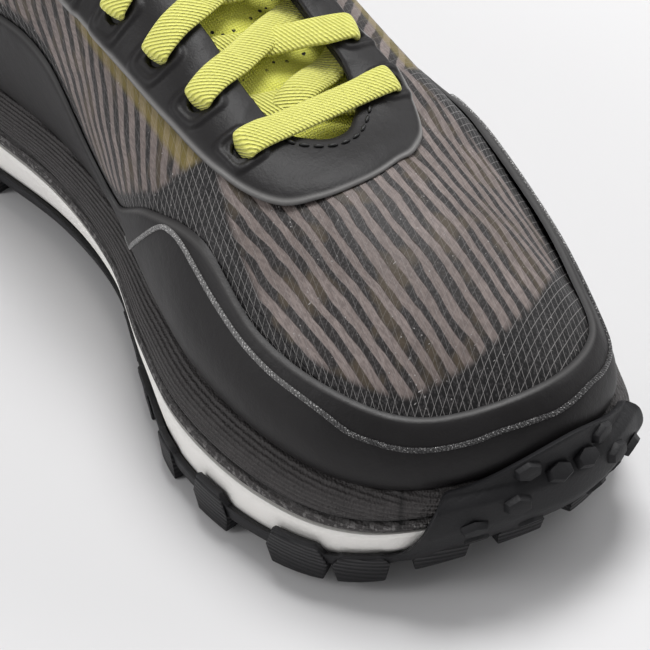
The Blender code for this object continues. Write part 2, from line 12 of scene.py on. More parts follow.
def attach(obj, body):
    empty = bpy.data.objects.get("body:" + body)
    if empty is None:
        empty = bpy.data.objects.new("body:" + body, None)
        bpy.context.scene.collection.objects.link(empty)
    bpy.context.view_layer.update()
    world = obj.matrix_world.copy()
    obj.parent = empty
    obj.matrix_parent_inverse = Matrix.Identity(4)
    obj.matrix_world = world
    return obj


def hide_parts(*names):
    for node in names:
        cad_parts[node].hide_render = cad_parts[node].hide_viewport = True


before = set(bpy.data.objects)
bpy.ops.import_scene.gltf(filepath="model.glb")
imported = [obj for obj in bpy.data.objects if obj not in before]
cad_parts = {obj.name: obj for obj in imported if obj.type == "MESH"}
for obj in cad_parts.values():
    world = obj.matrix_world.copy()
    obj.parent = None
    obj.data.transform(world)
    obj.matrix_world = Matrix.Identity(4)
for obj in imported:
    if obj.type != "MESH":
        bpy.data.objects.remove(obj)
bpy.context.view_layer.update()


# Camera
# The photograph's angle: a long lens 0.6 m from the inner side of the toe, looking down on it, so close
# that the heel is out of the frame.
AIM = Vector((0.0962, -0.0273, 0.0550))
AWAY = 0.600
TURN, TILT, ROLL = np.radians((53.7, 42.0, 0.5))
back = Vector((np.sin(TURN) * np.cos(TILT), -np.cos(TURN) * np.cos(TILT), np.sin(TILT)))
camera = bpy.data.objects.new("camera", bpy.data.cameras.new("camera"))
bpy.context.scene.collection.objects.link(camera)
camera.data.sensor_width = 36.0
camera.data.lens = 144.6
camera.data.clip_end = 20.0
facing = back.to_track_quat("Z", "Y").to_matrix().to_4x4()
camera.matrix_world = Matrix.Translation(AIM + back * AWAY) @ facing @ Matrix.Rotation(ROLL, 4, "Z")
bpy.context.scene.camera = camera


# Studio
# A pale sheet of board for a floor, under one broad soft light, a long strip behind the shoe and a weak fill.
# The board and every piece of the shoe get their finish from the two classes here.
class Socket:
    """A shader value that can be added, multiplied and compared in plain expressions."""

    def __init__(self, shader, output):
        self.shader = shader
        self.output = output

    def math(self, operation, *others):
        values = [self] + list(others)
        return self.shader.node("ShaderNodeMath", {"operation": operation}, dict(enumerate(values)))

    def __add__(self, other):
        return self.math("ADD", other)

    def __sub__(self, other):
        return self.math("SUBTRACT", other)

    def __mul__(self, other):
        return self.math("MULTIPLY", other)

    def __rsub__(self, other):
        return self.math("MULTIPLY", -1.0) + other

    __radd__ = __add__
    __rmul__ = __mul__

    def above(self, edge, soft=0.0):
        """1 where the value is over edge, rising over soft."""
        low, high = edge - soft / 2, edge + soft / 2 + 1e-9
        settings = {"interpolation_type": "SMOOTHSTEP"}
        return self.shader.node("ShaderNodeMapRange", settings, {0: self, 1: low, 2: high, 3: 0.0, 4: 1.0})

    def power(self, exponent):
        return self.math("POWER", exponent)

    def either(self, other):
        return self.math("MAXIMUM", other)

    def absolute(self):
        return self.math("ABSOLUTE")

    def wave(self, pitch):
        """A sine between 0 and 1 with a crest every pitch."""
        return (self * (2 * np.pi / pitch)).math("SINE") * 0.5 + 0.5


class Shader:
    """One material, its Principled shader and the nodes that feed it."""

    def __init__(self, name, colour=None, roughness=0.5, **sockets):
        self.material = bpy.data.materials.new(name)
        self.material.use_nodes = True
        self.tree = self.material.node_tree
        self.surface = self.tree.nodes["Principled BSDF"]
        if colour is not None:
            self.set("Base Color", colour)
        self.set("Roughness", roughness)
        for socket, value in sockets.items():
            self.set(socket.replace("_", " "), value)

    def put(self, socket, value):
        if isinstance(value, Socket):
            self.tree.links.new(value.output, socket)
        elif socket.type == "RGBA" and not isinstance(value, (int, float)):
            socket.default_value = (*value, 1.0) if len(value) == 3 else value
        else:
            socket.default_value = value

    def set(self, name, value):
        self.put(self.surface.inputs[name], value)

    def node(self, kind, settings=None, inputs=None, output=0):
        made = self.tree.nodes.new(kind)
        for name, value in (settings or {}).items():
            setattr(made, name, value)
        for name, value in (inputs or {}).items():
            self.put(made.inputs[name], value)
        return Socket(self, made.outputs[output])

    def at(self, scale=(1.0, 1.0, 1.0)):
        """Object coordinates, scaled."""
        place = self.node("ShaderNodeTexCoord", output="Object")
        return self.node("ShaderNodeMapping", None, {"Vector": place, "Scale": scale})

    def split(self, vector):
        made = self.tree.nodes.new("ShaderNodeSeparateXYZ")
        self.put(made.inputs[0], vector)
        return [Socket(self, output) for output in made.outputs]

    def noise(self, size, detail=3.0, place=None, rough=0.55):
        """Fractal noise between 0 and 1, with features of about size metres."""
        place = place or self.at()
        return self.node("ShaderNodeTexNoise", None,
                         {"Vector": place, "Scale": 1.0 / size, "Detail": detail, "Roughness": rough})

    def cells(self, size, place=None):
        """Distance to scattered points about size metres apart, as a share of size."""
        place = place or self.at()
        return self.node("ShaderNodeTexVoronoi", None, {"Vector": place, "Scale": 1.0 / size})

    def attribute(self, name):
        return self.node("ShaderNodeAttribute", {"attribute_name": name}, output="Fac")

    def mix(self, factor, first, second):
        """First colour where factor is 0 and second where it is 1."""
        made = self.tree.nodes.new("ShaderNodeMix")
        made.data_type = "RGBA"
        self.put(made.inputs[0], factor)
        self.put(made.inputs[6], first)
        self.put(made.inputs[7], second)
        return Socket(self, made.outputs[2])

    def bump(self, height, depth, under=None):
        """Relief of depth metres where height goes from 0 to 1, on top of another bump if there is one."""
        inputs = {"Height": height, "Distance": depth, "Strength": 1.0}
        if under is not None:
            inputs["Normal"] = under
        normal = self.node("ShaderNodeBump", None, inputs)
        self.set("Normal", normal)
        return normal


def add_light(name, place, towards, size, watts):
    data = bpy.data.lights.new(name, "AREA")
    data.shape = "RECTANGLE"
    data.size, data.size_y = size
    data.energy = watts
    light = bpy.data.objects.new(name, data)
    aim = Vector(towards) - Vector(place)
    light.matrix_world = Matrix.Translation(place) @ aim.to_track_quat("-Z", "Y").to_matrix().to_4x4()
    bpy.context.scene.collection.objects.link(light)


add_light("overhead", (-0.20, 0.24, 1.18), (0.06, 0.0, 0.0), (0.50, 0.50), 11.5)
add_light("strip_behind", (0.10, 1.05, 0.75), (0.08, 0.0, 0.05), (1.4, 0.30), 5.0)
add_light("fill", (-0.35, -1.25, 0.70), (0.08, 0.0, 0.03), (0.5, 0.9), 6.5)
world = bpy.data.worlds.new("studio")
world.use_nodes = True
world.node_tree.nodes["Background"].inputs["Color"].default_value = (0.86, 0.86, 0.87, 1.0)
world.node_tree.nodes["Background"].inputs["Strength"].default_value = 0.36
bpy.context.scene.world = world
bpy.context.scene.view_settings.view_transform = "Standard"

bm = bmesh.new()
bmesh.ops.create_grid(bm, x_segments=1, y_segments=1, size=4.0)
floor_mesh = bpy.data.meshes.new("floor")
bm.to_mesh(floor_mesh)
bm.free()
floor = bpy.data.objects.new("floor", floor_mesh)
board = Shader("pale_board", (0.73, 0.725, 0.73), 0.9, Specular_IOR_Level=0.1)
floor_mesh.materials.append(board.material)
bpy.context.scene.collection.objects.link(floor)


# Lower midsole
# A block of soft white foam that carries the whole shoe, moulded with a fine skin and bonded to the rubber.
# Its plan, profile and flank come from the stations here, which the later pieces follow too.
LENGTH = 0.300            # outsole, heel to toe
BALL_WIDTH = 0.110        # outsole across the ball
LUG = 0.0045              # height of the main lugs
TOE_SPRING = 0.0115       # rise of the sole at the toe
HEEL_BEVEL = 0.005        # rise of the sole at the back of the heel
HEEL_FOAM = 0.0285        # both foams together, at the heel
BALL_FOAM = 0.0230        # both foams together, at the ball
TOE_FOAM = 0.0175         # both foams together, at the toe
WHITE_SHARE = 0.47        # of the foam's height, the lower, white foam
MIDDLE = 0.5027           # share of LENGTH from the heel at which the origin lies
ASIDE = 0.0005            # origin beside the stations' centre line, towards the lateral side
CLEAR = 0.0003            # between pieces that meet
PLATE = 0.0025            # rubber under the foam
RIM_INSET = 0.0072        # top edge of the foam, in from the widest line
FOAM_IN = 0.020           # how far a foam's foot and top reach in before they close

# Stations from heel to toe, numbered round the shoe from the heel (0) by the inner side to the toe and back.
# x is a share of LENGTH from the heel; medial and lateral are shares of BALL_WIDTH from the centre line, at
# the widest line of the foam; rim and foot scale the foam's lean at its top and at its foot. out and up set
# the swell of the upper above its foot, as shares of BALL_WIDTH; reach and drop, the roll in to its top edge.
# edge_x, edge_m and edge_l place that edge; rand and stay are heights on the upper, as shares of the way up.
COLUMNS = ("x", "medial", "lateral", "rim", "foot", "out_m", "out_l", "up", "reach", "drop",
           "edge_x", "edge_m", "edge_l", "rand_m", "rand_l", "stay_m", "stay_l")
STATIONS = {
    "heel":        (0.000, 0.000, 0.000, 0.70, 0.40, 0.03, 0.03, 0.36, 0.00, 0.34,
                    0.032, 0.000, 0.000, 0.50, 0.50, 0.60, 0.60),
    "heel_corner": (0.022, 0.205, 0.210, 0.70, 0.40, 0.04, 0.04, 0.34, 0.01, 0.32,
                    0.044, 0.135, 0.135, 0.46, 0.46, 0.60, 0.60),
    "heel_side":   (0.090, 0.325, 0.335, 0.70, 0.30, 0.06, 0.06, 0.32, 0.06, 0.28,
                    0.108, 0.243, 0.243, 0.40, 0.40, 0.60, 0.60),
    "rear":        (0.200, 0.352, 0.378, 0.70, 0.30, 0.07, 0.07, 0.28, 0.10, 0.20,
                    0.200, 0.265, 0.270, 0.34, 0.34, 0.60, 0.60),
    "waist":       (0.320, 0.318, 0.400, 0.65, 0.50, 0.08, 0.08, 0.34, 0.12, 0.16,
                    0.290, 0.232, 0.240, 0.36, 0.32, 0.52, 0.80),
    "arch":        (0.440, 0.290, 0.424, 0.60, 0.70, 0.10, 0.08, 0.36, 0.19, 0.10,
                    0.400, 0.118, 0.146, 0.28, 0.32, 0.54, 0.83),
    "midfoot":     (0.550, 0.325, 0.452, 0.60, 0.75, 0.13, 0.09, 0.28, 0.19, 0.06,
                    0.500, 0.106, 0.140, 0.12, 0.32, 0.588, 0.83),
    "joint":       (0.650, 0.418, 0.488, 0.85, 0.50, 0.11, 0.09, 0.20, 0.20, 0.02,
                    0.590, 0.104, 0.135, 0.385, 0.42, 0.652, 0.83),
    "ball":        (0.740, 0.480, 0.500, 1.00, 0.15, 0.10, 0.09, 0.17, 0.22, 0.00,
                    0.655, 0.112, 0.132, 0.514, 0.50, 0.708, 0.81),
    "forefoot":    (0.835, 0.474, 0.462, 0.96, 0.15, 0.09, 0.08, 0.15, 0.24, 0.00,
                    0.692, 0.097, 0.096, 0.410, 0.41, 0.755, 0.80),
    "toe_side":    (0.915, 0.400, 0.385, 0.84, 0.30, 0.075, 0.065, 0.13, 0.30, 0.00,
                    0.708, 0.060, 0.058, 0.360, 0.36, 0.820, 0.835),
    "toe_corner":  (0.972, 0.232, 0.270, 0.62, 0.70, 0.07, 0.06, 0.12, 0.36, 0.00,
                    0.716, 0.028, 0.028, 0.310, 0.31, 0.865, 0.875),
    "toe":         (1.000, -0.045, 0.045, 0.56, 0.80, 0.07, 0.07, 0.12, 0.40, 0.00,
                    0.718, 0.000, 0.000, 0.317, 0.317, 0.885, 0.885),
}
SIDE = len(STATIONS) - 1
LOOP = 2 * SIDE

# Heights along the shoe, by share of LENGTH: lift of the sole at the heel and the toe, and foam height
# between toe, ball and heel.
PROFILE_COLUMNS = ("x", "heel_lift", "toe_lift", "heel_foam", "toe_foam")
PROFILE = (
    (0.00, 1.00, 0.00, 0.97, 0.00),
    (0.04, 0.45, 0.00, 1.00, 0.00),
    (0.10, 0.00, 0.00, 1.00, 0.00),
    (0.35, 0.00, 0.00, 0.93, 0.00),
    (0.50, 0.00, 0.00, 0.55, 0.00),
    (0.65, 0.00, 0.00, 0.12, 0.00),
    (0.75, 0.00, 0.02, 0.00, 0.00),
    (0.85, 0.00, 0.12, 0.00, 0.25),
    (0.93, 0.00, 0.37, 0.00, 0.60),
    (1.00, 0.00, 1.00, 0.00, 1.00),
)

# Side of the foam: height share, and how much of the rim's and of the foot's inset it has there
FLANK = {
    "foot":       (0.000, 0.00, 1.00),
    "white_low":  (0.200, 0.00, 0.45),
    "white_high": (0.430, 0.02, 0.10),
    "roll_foot":  (0.500, 0.14, 0.00),
    "roll_out":   (0.550, 0.02, 0.00),
    "roll_top":   (0.620, 0.10, 0.00),
    "groove":     (0.655, 0.30, 0.00),
    "band_foot":  (0.690, 0.14, 0.00),
    "band":       (0.790, 0.26, 0.00),
    "band_top":   (0.860, 0.42, 0.00),
    "ledge":      (0.940, 0.74, 0.00),
    "rim":        (1.000, 1.00, 0.00),
}


def crom(table, at):
    """Smooth curve through a table's rows, the row number being the parameter."""
    table = np.asarray(table, float)
    at = np.clip(np.asarray(at, float), 0, len(table) - 1)
    i = np.clip(at.astype(int), 0, len(table) - 2)
    f = (at - i).reshape(at.shape + (1,) * (table.ndim - 1))
    p = [table[np.clip(i + k, 0, len(table) - 1)] for k in (-1, 0, 1, 2)]
    return p[1] + 0.5 * f * (p[2] - p[0] + f * (2 * p[0] - 5 * p[1] + 4 * p[2] - p[3]
                                              + f * (3 * (p[1] - p[2]) + p[3] - p[0])))


def round_loop(values, s):
    """The same for a closed loop of LOOP rows."""
    values = np.concatenate([values[-3:], values, values[:4]])
    return crom(values, np.mod(s, LOOP) + 3)


def column(name, lateral=None, mirror=1.0):
    """A station column as a closed loop: the medial side out, the lateral side back."""
    near = [row[COLUMNS.index(name)] for row in STATIONS.values()]
    far = [row[COLUMNS.index(lateral or name)] for row in STATIONS.values()]
    return np.array(near[:-1] + [mirror * v for v in far[:0:-1]])


def along(columns, rows, name, x):
    """A height column at a share of LENGTH."""
    rows = np.array(rows)
    at = np.interp(x, rows[:, 0], np.arange(len(rows)))
    return crom(rows[:, columns.index(name)], at)


def share(x):
    return np.clip(x / LENGTH + MIDDLE, 0, 1)


def ground(x):
    """Underside of the rubber plate, level between heel and ball."""
    u = share(x)
    heel = np.maximum(along(PROFILE_COLUMNS, PROFILE, "heel_lift", u), 0)
    toe = np.maximum(along(PROFILE_COLUMNS, PROFILE, "toe_lift", u), 0)
    return LUG + HEEL_BEVEL * heel + TOE_SPRING * toe


def foam(x):
    """Height of the two foams together."""
    u = share(x)
    return (BALL_FOAM + (HEEL_FOAM - BALL_FOAM) * along(PROFILE_COLUMNS, PROFILE, "heel_foam", u)
            + (TOE_FOAM - BALL_FOAM) * along(PROFILE_COLUMNS, PROFILE, "toe_foam", u))


def sole_z(x, level):
    """Height of a level in the foam, 0 on the rubber and 1 at its rim."""
    return ground(x) + PLATE + CLEAR + level * foam(x)


def outline(s, inset=0.0):
    """Widest line of the foam in plan, moved in by inset."""
    def at(v):
        x = (round_loop(column("x"), v) - MIDDLE) * LENGTH
        y = round_loop(column("medial", "lateral", -1.0), v) * -BALL_WIDTH - ASIDE
        return np.stack([x, y], -1)
    s = np.asarray(s, float)
    p, d = at(s), at(s + 0.01) - at(s - 0.01)
    n = np.stack([d[..., 1], -d[..., 0]], -1) / np.linalg.norm(d, axis=-1, keepdims=True)
    return p - n * np.asarray(inset)[..., None], n


def surface(name, place, across, rows, look, stands_for=(), closed=(True, False), marks=None,
            smooth=50):
    """A piece from a grid, whose points from 0 to 1 across and up are put where place says."""
    bm = bmesh.new()
    bmesh.ops.create_grid(bm, x_segments=across, y_segments=rows, size=0.5)
    grid = np.array([v.co[:2] for v in bm.verts]) + 0.5
    across_at, up_at = grid[:, 0], np.where(closed[1] & (grid[:, 1] > 1 - 1e-6), 0.0, grid[:, 1])
    bm.verts.index_update()
    layer = bm.loops.layers.uv.new("around")
    for face in bm.faces:
        for loop in face.loops:
            loop[layer].uv = grid[loop.vert.index]
    for mark, values in (marks(across_at, up_at) if marks else {}).items():
        own = bm.verts.layers.float.new(mark)
        for vert, value in zip(bm.verts, values):
            vert[own] = value
    for vert, point in zip(bm.verts, place(across_at, up_at)):
        vert.co = point
    if any(closed):
        bmesh.ops.remove_doubles(bm, verts=bm.verts, dist=1e-6)
    rim = [edge for edge in bm.edges if edge.is_boundary]
    if rim:
        bmesh.ops.holes_fill(bm, edges=rim, sides=0)
    bmesh.ops.recalc_face_normals(bm, faces=bm.faces)
    return finish_piece(name, bm, look, stands_for, smooth)


def finish_piece(name, bm, look, stands_for=(), smooth=50):
    """The bmesh as an object of the shoe, with its finish and what it stands for."""
    mesh = bpy.data.meshes.new(name)
    bm.to_mesh(mesh)
    bm.free()
    mesh.materials.append(look.material)
    mesh.shade_smooth()
    mesh.set_sharp_from_angle(angle=np.radians(smooth))
    piece = bpy.data.objects.new(name, mesh)
    bpy.context.scene.collection.objects.link(piece)
    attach(piece, "root")
    if stands_for:
        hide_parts(*stands_for)
    return piece


def flank_section(table, low, high, steps):
    """Smooth rows up a flank between two levels: level, rim share, foot share."""
    rows = np.array(list(table.values()))
    fine = crom(rows, np.linspace(0, len(rows) - 1, 40 * len(rows)))
    levels = np.linspace(low, high, steps)
    return np.column_stack([levels, np.interp(levels, fine[:, 0], fine[:, 1]),
                            np.interp(levels, fine[:, 0], fine[:, 2])])


def foam_block(low, high, steps, lift, round_over):
    """Place of the points of a foam layer: in under its foot, up its flank, and in over its top."""
    section = flank_section(FLANK, low, high, steps)
    ends = np.array([0.5, 0.12, 0.03])
    inward = np.concatenate([ends * FOAM_IN, np.zeros(steps), ends[::-1] * FOAM_IN])
    section = np.concatenate([section[[0] * 3], section, section[[-1] * 3]])
    rounded = np.zeros(len(section))
    rounded[3], rounded[-4] = round_over, round_over

    def place(across, up):
        row = np.rint(up * (len(section) - 1)).astype(int)
        s = across * LOOP
        level, at_rim, at_foot = section[row].T
        pull = RIM_INSET * (at_rim * round_loop(column("rim"), s) + at_foot * round_loop(column("foot"), s))
        p, _ = outline(s, pull + inward[row] + rounded[row])
        z = sole_z(p[:, 0], level) + np.where(row < len(section) / 2, lift, 0.0)
        return np.column_stack([p, z])
    return place, len(section) - 1


white_foam = Shader("white_foam", roughness=0.62, Specular_IOR_Level=0.35)
grain = white_foam.noise(0.0011, 4.0)
# Darker patches at random over the white foam
soft_dark_patches = white_foam.noise(0.014, 3.0).above(0.66, 0.20)
white_foam.set("Base Color", white_foam.mix(soft_dark_patches * 0.25, (0.92, 0.90, 0.865), (0.70, 0.67, 0.62)))
white_foam.bump(grain, 0.00012, white_foam.bump(white_foam.cells(0.0007), 0.00004))
lower_place, lower_rows = foam_block(0.0, WHITE_SHARE - 0.012, 14, 0.0, 0.0004)
surface("midsole_white_foam", lower_place, 288, lower_rows, white_foam, ("midsole_lower",))


# Upper midsole
# A firmer dark foam frame bonded on the white one: a rolled lower band, a moulded groove and an upper band
# that leans in to the rand. Its skin has fine lines like cloth, with a mould seam near the toe on each side.
# Painted glints lighten its fine lines and the crest of the lower roll, and painted shade darkens the groove.
SEAM_AT = 10.62           # station of the mould seam on the inner side
dark_foam = Shader("dark_foam", roughness=0.60, Specular_IOR_Level=0.36)
threads_up = dark_foam.cells(0.00055, dark_foam.at(scale=(1.0, 1.0, 0.35)))
patchy = dark_foam.noise(0.006, 4.0)
tone = dark_foam.mix(patchy, (0.024, 0.0220, 0.0220), (0.062, 0.056, 0.056))
_, _, foam_height = dark_foam.split(dark_foam.at())
lines = foam_height.wave(0.00085)
# Painted glints: the fine cloth lines are lightened where they meet the threads
tone = dark_foam.mix(lines * threads_up * 0.55, tone, (0.105, 0.098, 0.096))
# Painted glints speckle the crest of the lower roll
painted_roll_glints = dark_foam.noise(0.0012, 4.0).above(0.56, 0.10) * dark_foam.attribute("roll")
tone = dark_foam.mix(painted_roll_glints * 0.8, tone, (0.26, 0.25, 0.245))
# Painted shade: near black in the groove; the seam part of the mark is a dark line
groove_shade_and_seam_line = dark_foam.attribute("groove")
dark_foam.set("Base Color", dark_foam.mix(groove_shade_and_seam_line, tone, (0.004, 0.004, 0.004)))
dark_foam.bump(threads_up + lines, 0.00030, dark_foam.bump(patchy, 0.00015))
top_place, top_rows = foam_block(WHITE_SHARE + 0.012, 1.0, 30, CLEAR, 0.0004)


def foam_marks(across, up):
    """How deep in the groove (painted shade) or at the mould seam, and how near the roll's crest (painted
    glints), each point is.
    """
    s = across * LOOP
    level = WHITE_SHARE + (up * top_rows - 3) / (top_rows - 6) * (1 - WHITE_SHARE)
    groove = np.exp(-((level - 0.655) / 0.024) ** 2)
    seam = np.exp(-((SIDE - np.abs(s - SIDE) - SEAM_AT) / 0.022) ** 2)
    # Crest of the lower roll, where the painted glints go
    roll = np.exp(-((level - 0.555) / 0.050) ** 2)
    return {"groove": np.clip(groove + 0.7 * seam, 0, 1), "roll": roll}


surface("midsole_dark_foam", top_place, 576, top_rows, dark_foam, ("midsole_upper",),
        marks=foam_marks)


# Rand
# The mudguard, a matt film moulded on the foot of the upper all round and bonded down to the foam. It rises
# in waves to a thin polished edge with a painted highlight, high at the heel and the ball and low at the
# arch.
SEAT = 0.0004             # between the upper and what is moulded over it
RAND = 0.0014             # moulded mudguard
HEEL_HEIGHT = 0.104       # floor to the top of the heel
ANKLE_HEIGHT = 0.083      # floor to the lowest part of the collar
INSTEP_HEIGHT = 0.106     # floor to the top of the throat
VAMP_HEIGHT = 0.0765      # floor to the front of the throat

# Height of the upper's top edge: how much of the way from the ankle to each of the three other heights
TOP_EDGE_COLUMNS = ("x", "heel", "instep", "vamp")
TOP_EDGE = (
    (0.032, 1.000, 0.000, 0.000),
    (0.050, 0.952, 0.000, 0.000),
    (0.108, 0.667, 0.000, 0.000),
    (0.200, 0.143, 0.000, 0.000),
    (0.245, 0.000, 0.000, 0.000),
    (0.300, 0.000, 0.196, 0.000),
    (0.345, 0.000, 0.674, 0.000),
    (0.385, 0.000, 1.000, 0.000),
    (0.430, 0.000, 0.949, 0.051),
    (0.500, 0.000, 0.746, 0.254),
    (0.590, 0.000, 0.407, 0.593),
    (0.655, 0.000, 0.170, 0.830),
    (0.692, 0.000, 0.044, 0.956),
    (0.718, 0.000, 0.000, 1.000),
)


def top_edge(u):
    """Height of the collar and the throat's edge at a share of LENGTH."""
    return (ANKLE_HEIGHT + (HEEL_HEIGHT - ANKLE_HEIGHT) * along(TOP_EDGE_COLUMNS, TOP_EDGE, "heel", u)
            + (INSTEP_HEIGHT - ANKLE_HEIGHT) * along(TOP_EDGE_COLUMNS, TOP_EDGE, "instep", u)
            + (VAMP_HEIGHT - ANKLE_HEIGHT) * along(TOP_EDGE_COLUMNS, TOP_EDGE, "vamp", u))


def upper(s, t, off=0.0):
    """Outer face of the upper: station s round the shoe, t from its foot (0) to its top edge (1)."""
    def at(s, t):
        rim = round_loop(column("rim"), s)
        foot, n = outline(s, RIM_INSET * rim + RAND + SEAT + CLEAR)
        z0 = sole_z(foot[..., 0], 1.0) + CLEAR
        out = round_loop(column("out_m", "out_l"), s) * BALL_WIDTH
        up = round_loop(column("up"), s) * BALL_WIDTH
        reach = round_loop(column("reach"), s) * BALL_WIDTH
        drop = round_loop(column("drop"), s) * BALL_WIDTH
        ex = round_loop(column("edge_x"), s)
        ey = round_loop(column("edge_m", "edge_l", -1.0), s) * -BALL_WIDTH - ASIDE
        ez = top_edge(ex)
        p0 = np.stack([foot[..., 0], foot[..., 1], z0], -1)
        p3 = np.stack([(ex - MIDDLE) * LENGTH, ey, ez], -1)
        away = p0[..., :2] - p3[..., :2]
        away = away / np.maximum(np.linalg.norm(away, axis=-1, keepdims=True), 1e-6)
        p1 = p0 + np.concatenate([n * out[..., None], up[..., None]], -1)
        p2 = p3 + np.concatenate([away * reach[..., None], -drop[..., None]], -1)
        t = np.asarray(t, float)[..., None]
        return (1 - t) ** 3 * p0 + 3 * t * (1 - t) ** 2 * p1 + 3 * t ** 2 * (1 - t) * p2 + t ** 3 * p3
    s, t = np.broadcast_arrays(np.asarray(s, float), np.asarray(t, float))
    e = 0.004
    a = at(s + e, t) - at(s - e, t)
    b = at(s, np.minimum(t + e, 1)) - at(s, np.maximum(t - e, 0))
    n = np.cross(a, b)
    n[..., 2] *= np.clip(t / 0.1, 0, 1)
    n /= np.maximum(np.linalg.norm(n, axis=-1, keepdims=True), 1e-12)
    p = at(s, t) + n * np.asarray(off)[..., None]
    rim = sole_z(p[..., 0], 1.0) + CLEAR
    p[..., 2] = np.where(t < 1e-6, rim, np.maximum(p[..., 2], rim))
    return p


FILM_COLOUR = (0.0098, 0.0090, 0.0094)
RAND_ROLL = 0.035         # share of the upper's height over which the film rounds off to its edge


def film(name):
    """Matt moulded film: near black, fine sand grain, faint rubbed patches, painted highlight on a glossier
    edge, painted shade in holes.
    """
    look = Shader(name, Specular_IOR_Level=0.26)
    rub = look.noise(0.022, 4.0)
    fine = look.noise(0.0006, 2.0)
    edge = look.attribute("edge")
    base = look.mix(rub, FILM_COLOUR, tuple(1.9 * c for c in FILM_COLOUR))
    # Painted highlight: a pale line along the edge mark
    base = look.mix(edge, base, (0.24, 0.235, 0.23))
    # Painted shade: near black in the eyelet holes
    look.set("Base Color", look.mix(look.attribute("hole"), base, (0.002, 0.002, 0.002)))
    look.set("Roughness", 0.40 + 0.16 * rub - edge * 0.15)
    look.bump(fine, 0.00006, look.bump(look.noise(0.009, 3.0), 0.00035))
    return look


def there_and_back(up):
    """In a thin piece's closed section: whether a point is on the outer face, and its share of the way up."""
    outside = up < 0.5
    return outside, np.where(outside, up, 1 - up) * 2


def rand_top(s):
    return round_loop(column("rand_m", "rand_l"), s)


def rand_place(across, up):
    """Section of the film as a closed loop: up its outer face and down its inner one."""
    s = across * LOOP
    t_high = rand_top(s)
    outside, way = there_and_back(up)
    t = t_high * way
    fall = np.clip((t_high - t) / RAND_ROLL, 0, 1)
    full = SEAT + RAND * np.sqrt(1 - (1 - fall) ** 2)
    return upper(s, t, np.where(outside, np.maximum(full, SEAT + 1e-5), SEAT))


def rand_marks(across, up):
    outside, way = there_and_back(up)
    # edge: where the painted highlight runs along the top of the rand; the rand has no holes
    return {"edge": 0.25 * np.exp(-((way - 0.975) / 0.016) ** 2) * outside, "hole": 0 * up}


rand_film = film("rand_film")
surface("mudguard_rand", rand_place, 432, 64, rand_film, ("rand",), closed=(True, True),
        marks=rand_marks)


# Outsole
# One black rubber moulding, bonded under the foam: plate, wall, ribbed tabs and lugs along the edge, chevrons
# underneath, and a bumper with raised hexagons that climbs the toe.
RUBBER = 0.0017           # rubber wall round the foot of the foam

# The rubber's wall round the foam, which at the toe climbs past the rim as a bumper
WRAP = {
    "foot":       (0.000, 0.00, 1.00),
    "low":        (0.200, -0.03, 0.42),
    "high":       (0.430, -0.05, 0.03),
    "widest":     (0.520, -0.07, 0.00),
    "lean":       (0.800, 0.10, 0.00),
    "band":       (0.880, 0.32, 0.00),
    "ledge":      (0.940, 0.56, 0.00),
    "rim":        (1.000, 0.74, 0.00),
    "over_rand":  (1.400, 0.80, 0.00),
}
WRAP_EDGE = 0.07          # level of the rubber's edge along the sides
WRAP_TOP = 1.35           # and of the bumper's at the toe
WRAP_FROM = 10.62         # stations between which it climbs
WRAP_TO = 11.05

# Lugs along the edge: station at the middle, half length in stations, level of the tab that climbs the foam,
# and height as a share of LUG
EDGE_LUGS = (
    (0.00, 0.42, 0.10, 1.0), (1.05, 0.36, 0.12, 1.0), (1.95, 0.22, 0.12, 1.0),
    (2.60, 0.20, 0.30, 1.0), (3.30, 0.22, 0.12, 1.0), (4.00, 0.18, 0.10, 1.0),
    (6.35, 0.18, 0.10, 1.0), (7.05, 0.20, 0.12, 1.0), (7.85, 0.19, 0.14, 1.0),
    (8.60, 0.21, 0.24, 1.0), (9.62, 0.31, 0.26, 1.0), (10.27, 0.26, 0.12, 1.0),
    (11.00, 0.25, 0.04, 0.6), (11.65, 0.20, 0.04, 0.5),
)
LUG_DEPTH = 0.010         # from the edge inwards
TAB_PROUD = 0.0007        # lugs and tabs beyond the rubber's wall
LIP = 0.0004              # rounding of the wall's top edge
CLIMB_SWELL = 0.0006      # the wall, fuller where it climbs the foam

# Chevron lugs inside the edge: place along the shoe as a share of LENGTH, and half width of the row
CHEVRONS = (
    (0.10, 0.18), (0.18, 0.20), (0.26, 0.19), (0.57, 0.20),
    (0.65, 0.27), (0.73, 0.30), (0.81, 0.29), (0.885, 0.22),
)
CHEVRON_LENGTH = 0.009
CHEVRON_SWEEP = 0.009


def smooth_step(v):
    v = np.clip(v, 0, 1)
    return v * v * (3 - 2 * v)


BUMPER_STUDS = ((11.52, 0.66), (11.22, 0.42), (11.66, 0.15), (11.27, 0.10), (11.86, 0.92), (11.62, 1.06))
STUD_RADIUS = 0.0027      # a raised hexagon, half as long again as it is high
STUD_RISE = 0.0009
RIB_PITCH = 0.0014

rubber = Shader("outsole_rubber", Specular_IOR_Level=0.34)
worn = rubber.noise(0.012, 4.0)
rubber.set("Roughness", 0.46 + 0.22 * worn)
ribs = rubber.attribute("ribs")
_, _, height = rubber.split(rubber.at())
# Painted highlight: the tabs' ribs are lighter than the rubber; the bump gives their relief
rib_relief_and_highlight = height.wave(RIB_PITCH).above(0.45, 0.35) * ribs
black = rubber.mix(worn, (0.0058, 0.0057, 0.0068), (0.0135, 0.0132, 0.0150))
rubber.set("Base Color", rubber.mix(rib_relief_and_highlight, black, (0.0420, 0.0410, 0.0430)))
rubber.bump(rib_relief_and_highlight, 0.0008, rubber.bump(rubber.noise(0.0007, 3.0), 0.00010))


